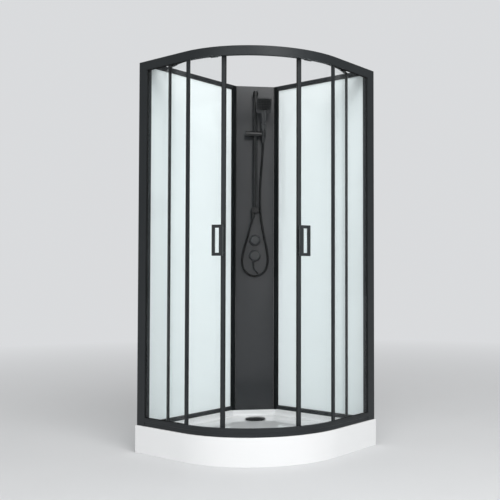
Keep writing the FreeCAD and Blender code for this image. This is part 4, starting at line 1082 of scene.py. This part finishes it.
@dataclass
class Column:
    """The corner column with its mixer and knobs."""

    front: float = 0.19808
    half_width: float = 0.1112
    foot: float = 0.131
    head: float = 2.036
    trim_width: float = 0.003
    trim_height: float = 0.0010
    union_flats: float = 0.0135
    union_height: float = 0.013

    def build(self) -> None:
        """Dresses column, mixer and knobs, and adds trims and union nuts."""
        dress(COLUMN_PAINT, "column_panel")
        dress(BRASS, "mixer_body")
        dress(KNOB_COAT, "upper_escutcheon", "lower_escutcheon", "upper_knob", "lower_knob")
        dress(BLACK_FITTING, "lower_lever")
        self.trims()
        self.unions()

    def trims(self) -> None:
        """Lays a thin trim along both upright edges of the column's front."""
        bench = Bench()
        for turn in (-1, 1):
            across = turn * (self.half_width - self.trim_width / 2)
            start = at_column(across, self.front, self.foot)
            end = at_column(across, self.front, self.head)
            bench.strip(start, end, OUT, self.trim_width, self.trim_height)
        bench.piece("column_trims", GASKET, "cabin")

    def unions(self) -> None:
        """Sets a union nut on each of the mixer's inlets."""
        bench = Bench()
        for mount in frame["record"]["mounts"]:
            if mount["name"] in ("hot_inlet", "cold_inlet"):
                axis = Vector(mount["axis"])
                seat = standing(Vector(mount["pos_m"]) - axis * self.union_height, axis)
                bench.nut(seat, self.union_flats, self.union_height)
        bench.piece("mixer_union_nuts", BRASS, "cabin")


@dataclass
class ShowerSet:
    """Riser rail, slider, holder and hand shower."""

    NOZZLE: ClassVar[tuple[Ring, ...]] = (
        Ring(0.0021, -0.0004), Ring(0.0021, 0.0003), Ring(0.0014, 0.0012),
        Ring(0.0010, 0.0018), Ring(0.0004, 0.0019))
    CAP_SHARES: ClassVar[tuple[tuple[float, float], ...]] = (
        (0.97, -0.0003), (0.97, 0.0010), (0.84, 0.0026), (0.5, 0.0036), (0.1, 0.0038))
    COLLAR_STEPS: ClassVar[tuple[tuple[float, float], ...]] = (
        (0.0, -0.0004), (0.0034, -0.0004), (0.0036, 0.0030), (0.0022, 0.0052), (0.0, 0.0058))

    columns: int = 8
    rows: int = 6
    field_width: float = 0.064
    field_height: float = 0.050
    nozzle_points: int = 10
    facing: float = 0.8
    same_way: float = 0.999
    same_plane: float = 0.0001
    riser_out: float = 0.25008
    riser_radius: float = 0.0125
    riser_top: float = 1.995
    riser_points: int = 36
    foot_top: float = 1.314
    slider_level: float = 1.743
    knob_radius: float = 0.017
    knob_near: float = 0.033
    knob_far: float = 0.054
    knob_ribs: int = 24
    knob_rib_width: float = 0.0018
    knob_rib_height: float = 0.0007
    nut_radius: float = 0.0104
    nut_ribs: int = 16
    nut_rib_foot: float = 0.003
    nut_rib_head: float = 0.016
    nut_rib_width: float = 0.0017
    nut_rib_height: float = 0.0006
    lean: float = math.radians(18.0)

    def build(self) -> None:
        """Dresses the set and adds nozzles, ribs, cap and collar."""
        dress(BLACK_FITTING, "riser_rail", "riser_top_bracket", "riser_foot")
        dress(BLACK_FITTING, "slider_body", "slider_knob", "cone_holder")
        dress(HANDSET_LIT_COAT, "handset")
        dress(SPRAY_FACE, "spray_plate")
        self.nozzles()
        self.riser_ends()
        self.grip_ribs()
        self.nut_grip()

    def spray_side(self) -> tuple[Vector, Vector]:
        """Finds the flat side of the spray plate that faces out of the corner.

        Returns:
            The side's middle and its normal.
        """
        shape = frame["nodes"]["spray_plate"].data
        faces = [face for face in shape.polygons if face.normal.dot(OUT) > self.facing]
        largest = max(faces, key=lambda face: face.area)
        normal = largest.normal.copy()
        level = largest.center.dot(normal)
        even = [face for face in faces if face.normal.dot(normal) > self.same_way]
        flat = [face for face in even if abs(face.center.dot(normal) - level) < self.same_plane]
        spots = [shape.vertices[index].co for face in flat for index in face.vertices]
        low = Vector([min(spot[axis] for spot in spots) for axis in range(3)])
        high = Vector([max(spot[axis] for spot in spots) for axis in range(3)])
        return (low + high) / 2, normal

    def nozzles(self) -> None:
        """Sets the soft nozzles in rows on the spray plate."""
        middle, normal = self.spray_side()
        rise = normal.cross(ACROSS).normalized()
        bench = Bench()
        for column in range(self.columns):
            for row in range(self.rows):
                aside = (column / (self.columns - 1) - 0.5) * self.field_width
                height = (row / (self.rows - 1) - 0.5) * self.field_height
                seat = standing(middle + ACROSS * aside + rise * height, normal)
                bench.turned(self.NOZZLE, seat, self.nozzle_points)
        bench.piece("spray_nozzles", NOZZLE_RUBBER, "hand_shower")

    def riser_ends(self) -> None:
        """Closes the rail's top with a cap and sets a collar on its foot."""
        bench = Bench()
        cap = [Ring(self.riser_radius * share, height) for share, height in self.CAP_SHARES]
        collar = [Ring(self.riser_radius + step, height) for step, height in self.COLLAR_STEPS]
        for rings, level in ((cap, self.riser_top), (collar, self.foot_top)):
            bench.turned(rings, standing(at_column(0.0, self.riser_out, level), UP), self.riser_points)
        bench.piece("riser_cap_and_collar", BLACK_FITTING, "cabin")

    def grip_ribs(self) -> None:
        """Lays grip ribs round the slider's locking knob."""
        bench = Bench()
        for step in range(self.knob_ribs):
            turn = math.tau * step / self.knob_ribs
            out = UP * math.cos(turn) + OUT * math.sin(turn)
            start = at_column(-self.knob_near, self.riser_out, self.slider_level) + out * self.knob_radius
            end = at_column(-self.knob_far, self.riser_out, self.slider_level) + out * self.knob_radius
            bench.strip(start, end, out, self.knob_rib_width, self.knob_rib_height)
        bench.piece("slider_knob_ribs", BLACK_FITTING, "lock")

    def nut_grip(self) -> None:
        """Lays grip ribs round the nut that joins the hose to the hand shower."""
        bench = Bench()
        axis = OUT * math.sin(self.lean) + UP * math.cos(self.lean)
        other = ACROSS.cross(axis).normalized()
        foot = at_column(*Hose.ROUTE[-1])
        for step in range(self.nut_ribs):
            turn = math.tau * step / self.nut_ribs
            out = ACROSS * math.cos(turn) + other * math.sin(turn)
            start = foot + axis * self.nut_rib_foot + out * self.nut_radius
            end = foot + axis * self.nut_rib_head + out * self.nut_radius
            bench.strip(start, end, out, self.nut_rib_width, self.nut_rib_height)
        bench.piece("hose_nut_ribs", BLACK_FITTING, "hand_shower")


@dataclass(frozen=True)
class Lamp:
    """One soft lamp: where it hangs, what it points at, its face in metres and its power in watts."""

    name: str
    place: Point
    target: Point
    width: float
    height: float
    power: float

    def hang(self) -> None:
        """Hangs the lamp, with its face hidden from the camera and from rays through glass."""
        data = bpy.data.lights.new(self.name, "AREA")
        data.shape = "RECTANGLE"
        data.size = self.width
        data.size_y = self.height
        data.energy = self.power
        light = bpy.data.objects.new(self.name, data)
        bpy.context.collection.objects.link(light)
        light.location = self.place
        light.visible_camera = False
        light.visible_transmission = False
        light.rotation_mode = "QUATERNION"
        light.rotation_quaternion = (Vector(self.target) - Vector(self.place)).to_track_quat("-Z", "Y")


@dataclass
class Studio:
    """Camera, floor, lamps and backdrop, with the world's strength for plain and for mirrored light."""

    LAMPS: ClassVar[tuple[Lamp, ...]] = (
        Lamp("key_lamp", (4.42, -1.79, 1.9), (0.2, -0.66, 1.0), width=3.65, height=3.0, power=63.0),
        Lamp("high_lamp", (1.75, -1.15, 3.5), (-0.3, 0.3, 1.3), width=1.6, height=1.6, power=44.0),
        Lamp("fill_lamp", (1.45, -4.95, 1.9), (0.0, 0.0, 1.0), width=2.4, height=3.0, power=47.0),
    )
    FLOOR_DISC: ClassVar[tuple[Ring, ...]] = (Ring(30.0, -0.02), Ring(30.0, -0.0005))

    eye: Point = (2.7854, -3.0898, 0.9231)
    azimuth: float = math.radians(37.142)
    elevation: float = math.radians(-1.786)
    sensor: float = 36.0
    lens: float = 55.904
    shift: float = -0.15
    backdrop: Colour = (0.70, 0.71, 0.725)
    daylight: float = 0.625
    mirrored: float = 0.26
    floor_colour: Colour = (0.72, 0.73, 0.74)
    floor_smooth: float = 0.75
    floor_rough: float = 0.9
    floor_cloud: float = 4.0
    floor_detail: float = 2.0
    floor_points: int = 64
    fade_start: float = 1.6
    fade_end: float = 7.0

    def build(self) -> None:
        """Sets up everything round the cabin."""
        bpy.context.scene.view_settings.view_transform = "Standard"
        self.camera()
        self.sky()
        self.floor()
        for lamp in self.LAMPS:
            lamp.hang()

    def camera(self) -> None:
        """Places the camera at the photograph's angle."""
        data = bpy.data.cameras.new("camera")
        data.sensor_width = self.sensor
        data.lens = self.lens
        data.shift_x = self.shift
        eye = bpy.data.objects.new("camera", data)
        bpy.context.collection.objects.link(eye)
        flat = math.cos(self.elevation)
        x = math.sin(self.azimuth) * flat
        y = -math.cos(self.azimuth) * flat
        back = Vector((x, y, math.sin(self.elevation)))
        eye.location = self.eye
        eye.rotation_mode = "QUATERNION"
        eye.rotation_quaternion = (-back).to_track_quat("-Z", "Y")
        bpy.context.scene.camera = eye

    def sky(self) -> None:
        """Gives even light from all round, less of it to what mirrors, and a pale backdrop to look at."""
        world = bpy.data.worlds.new("studio")
        bpy.context.scene.world = world
        mixer = Mixer(world, "ShaderNodeOutputWorld")
        ray = mixer.add("ShaderNodeLightPath").outputs
        change = self.mirrored - self.daylight
        level = mixer.maths("MULTIPLY_ADD", ray["Is Glossy Ray"], change, self.daylight)
        light = mixer.add("ShaderNodeBackground", Color=(1.0, 1.0, 1.0, 1.0), Strength=level)
        seen = mixer.add("ShaderNodeBackground", Color=(*self.backdrop, 1.0))
        looks = mixer.maths("MAXIMUM", ray["Is Camera Ray"], ray["Is Transmission Ray"])
        mixer.either(looks, light, seen)

    def floor(self) -> None:
        """Lays a pale floor that fades into the backdrop."""
        material = bpy.data.materials.new("studio_floor")
        mixer = Mixer(material)
        cloud = mixer.noise(self.floor_cloud, self.floor_detail)
        shader = mixer.surface(
            Base_Color=(*self.floor_colour, 1.0),
            Roughness=mixer.between(cloud, self.floor_smooth, self.floor_rough),
        )
        distance = mixer.add("ShaderNodeVectorMath", Vector=mixer.place)
        distance.operation = "LENGTH"
        far = distance.outputs["Value"]
        fade = mixer.add("ShaderNodeMapRange", Value=far, From_Min=self.fade_start, From_Max=self.fade_end)
        glow = mixer.add("ShaderNodeEmission", Color=(*self.backdrop, 1.0), Strength=1.0)
        mixer.either(fade.outputs[0], shader, glow)
        bench = Bench()
        bench.turned(self.FLOOR_DISC, Matrix.Identity(4), self.floor_points)
        mesh = bpy.data.meshes.new("studio_floor")
        mesh.from_pydata([tuple(spot) for spot in bench.points], [], bench.faces)
        mesh.materials.append(material)
        ground = bpy.data.objects.new("studio_floor", mesh)
        bpy.context.collection.objects.link(ground)


def main() -> None:
    """Builds the cabin's looks in order."""
    logging.basicConfig(level=logging.INFO, format="%(name)s: %(message)s")
    Studio().build()
    Hose().build()
    Tray().build()
    Framework().build()
    for side in Side:
        Door(side).build()
    Column().build()
    ShowerSet().build()


if __name__ == "__main__":
    main()
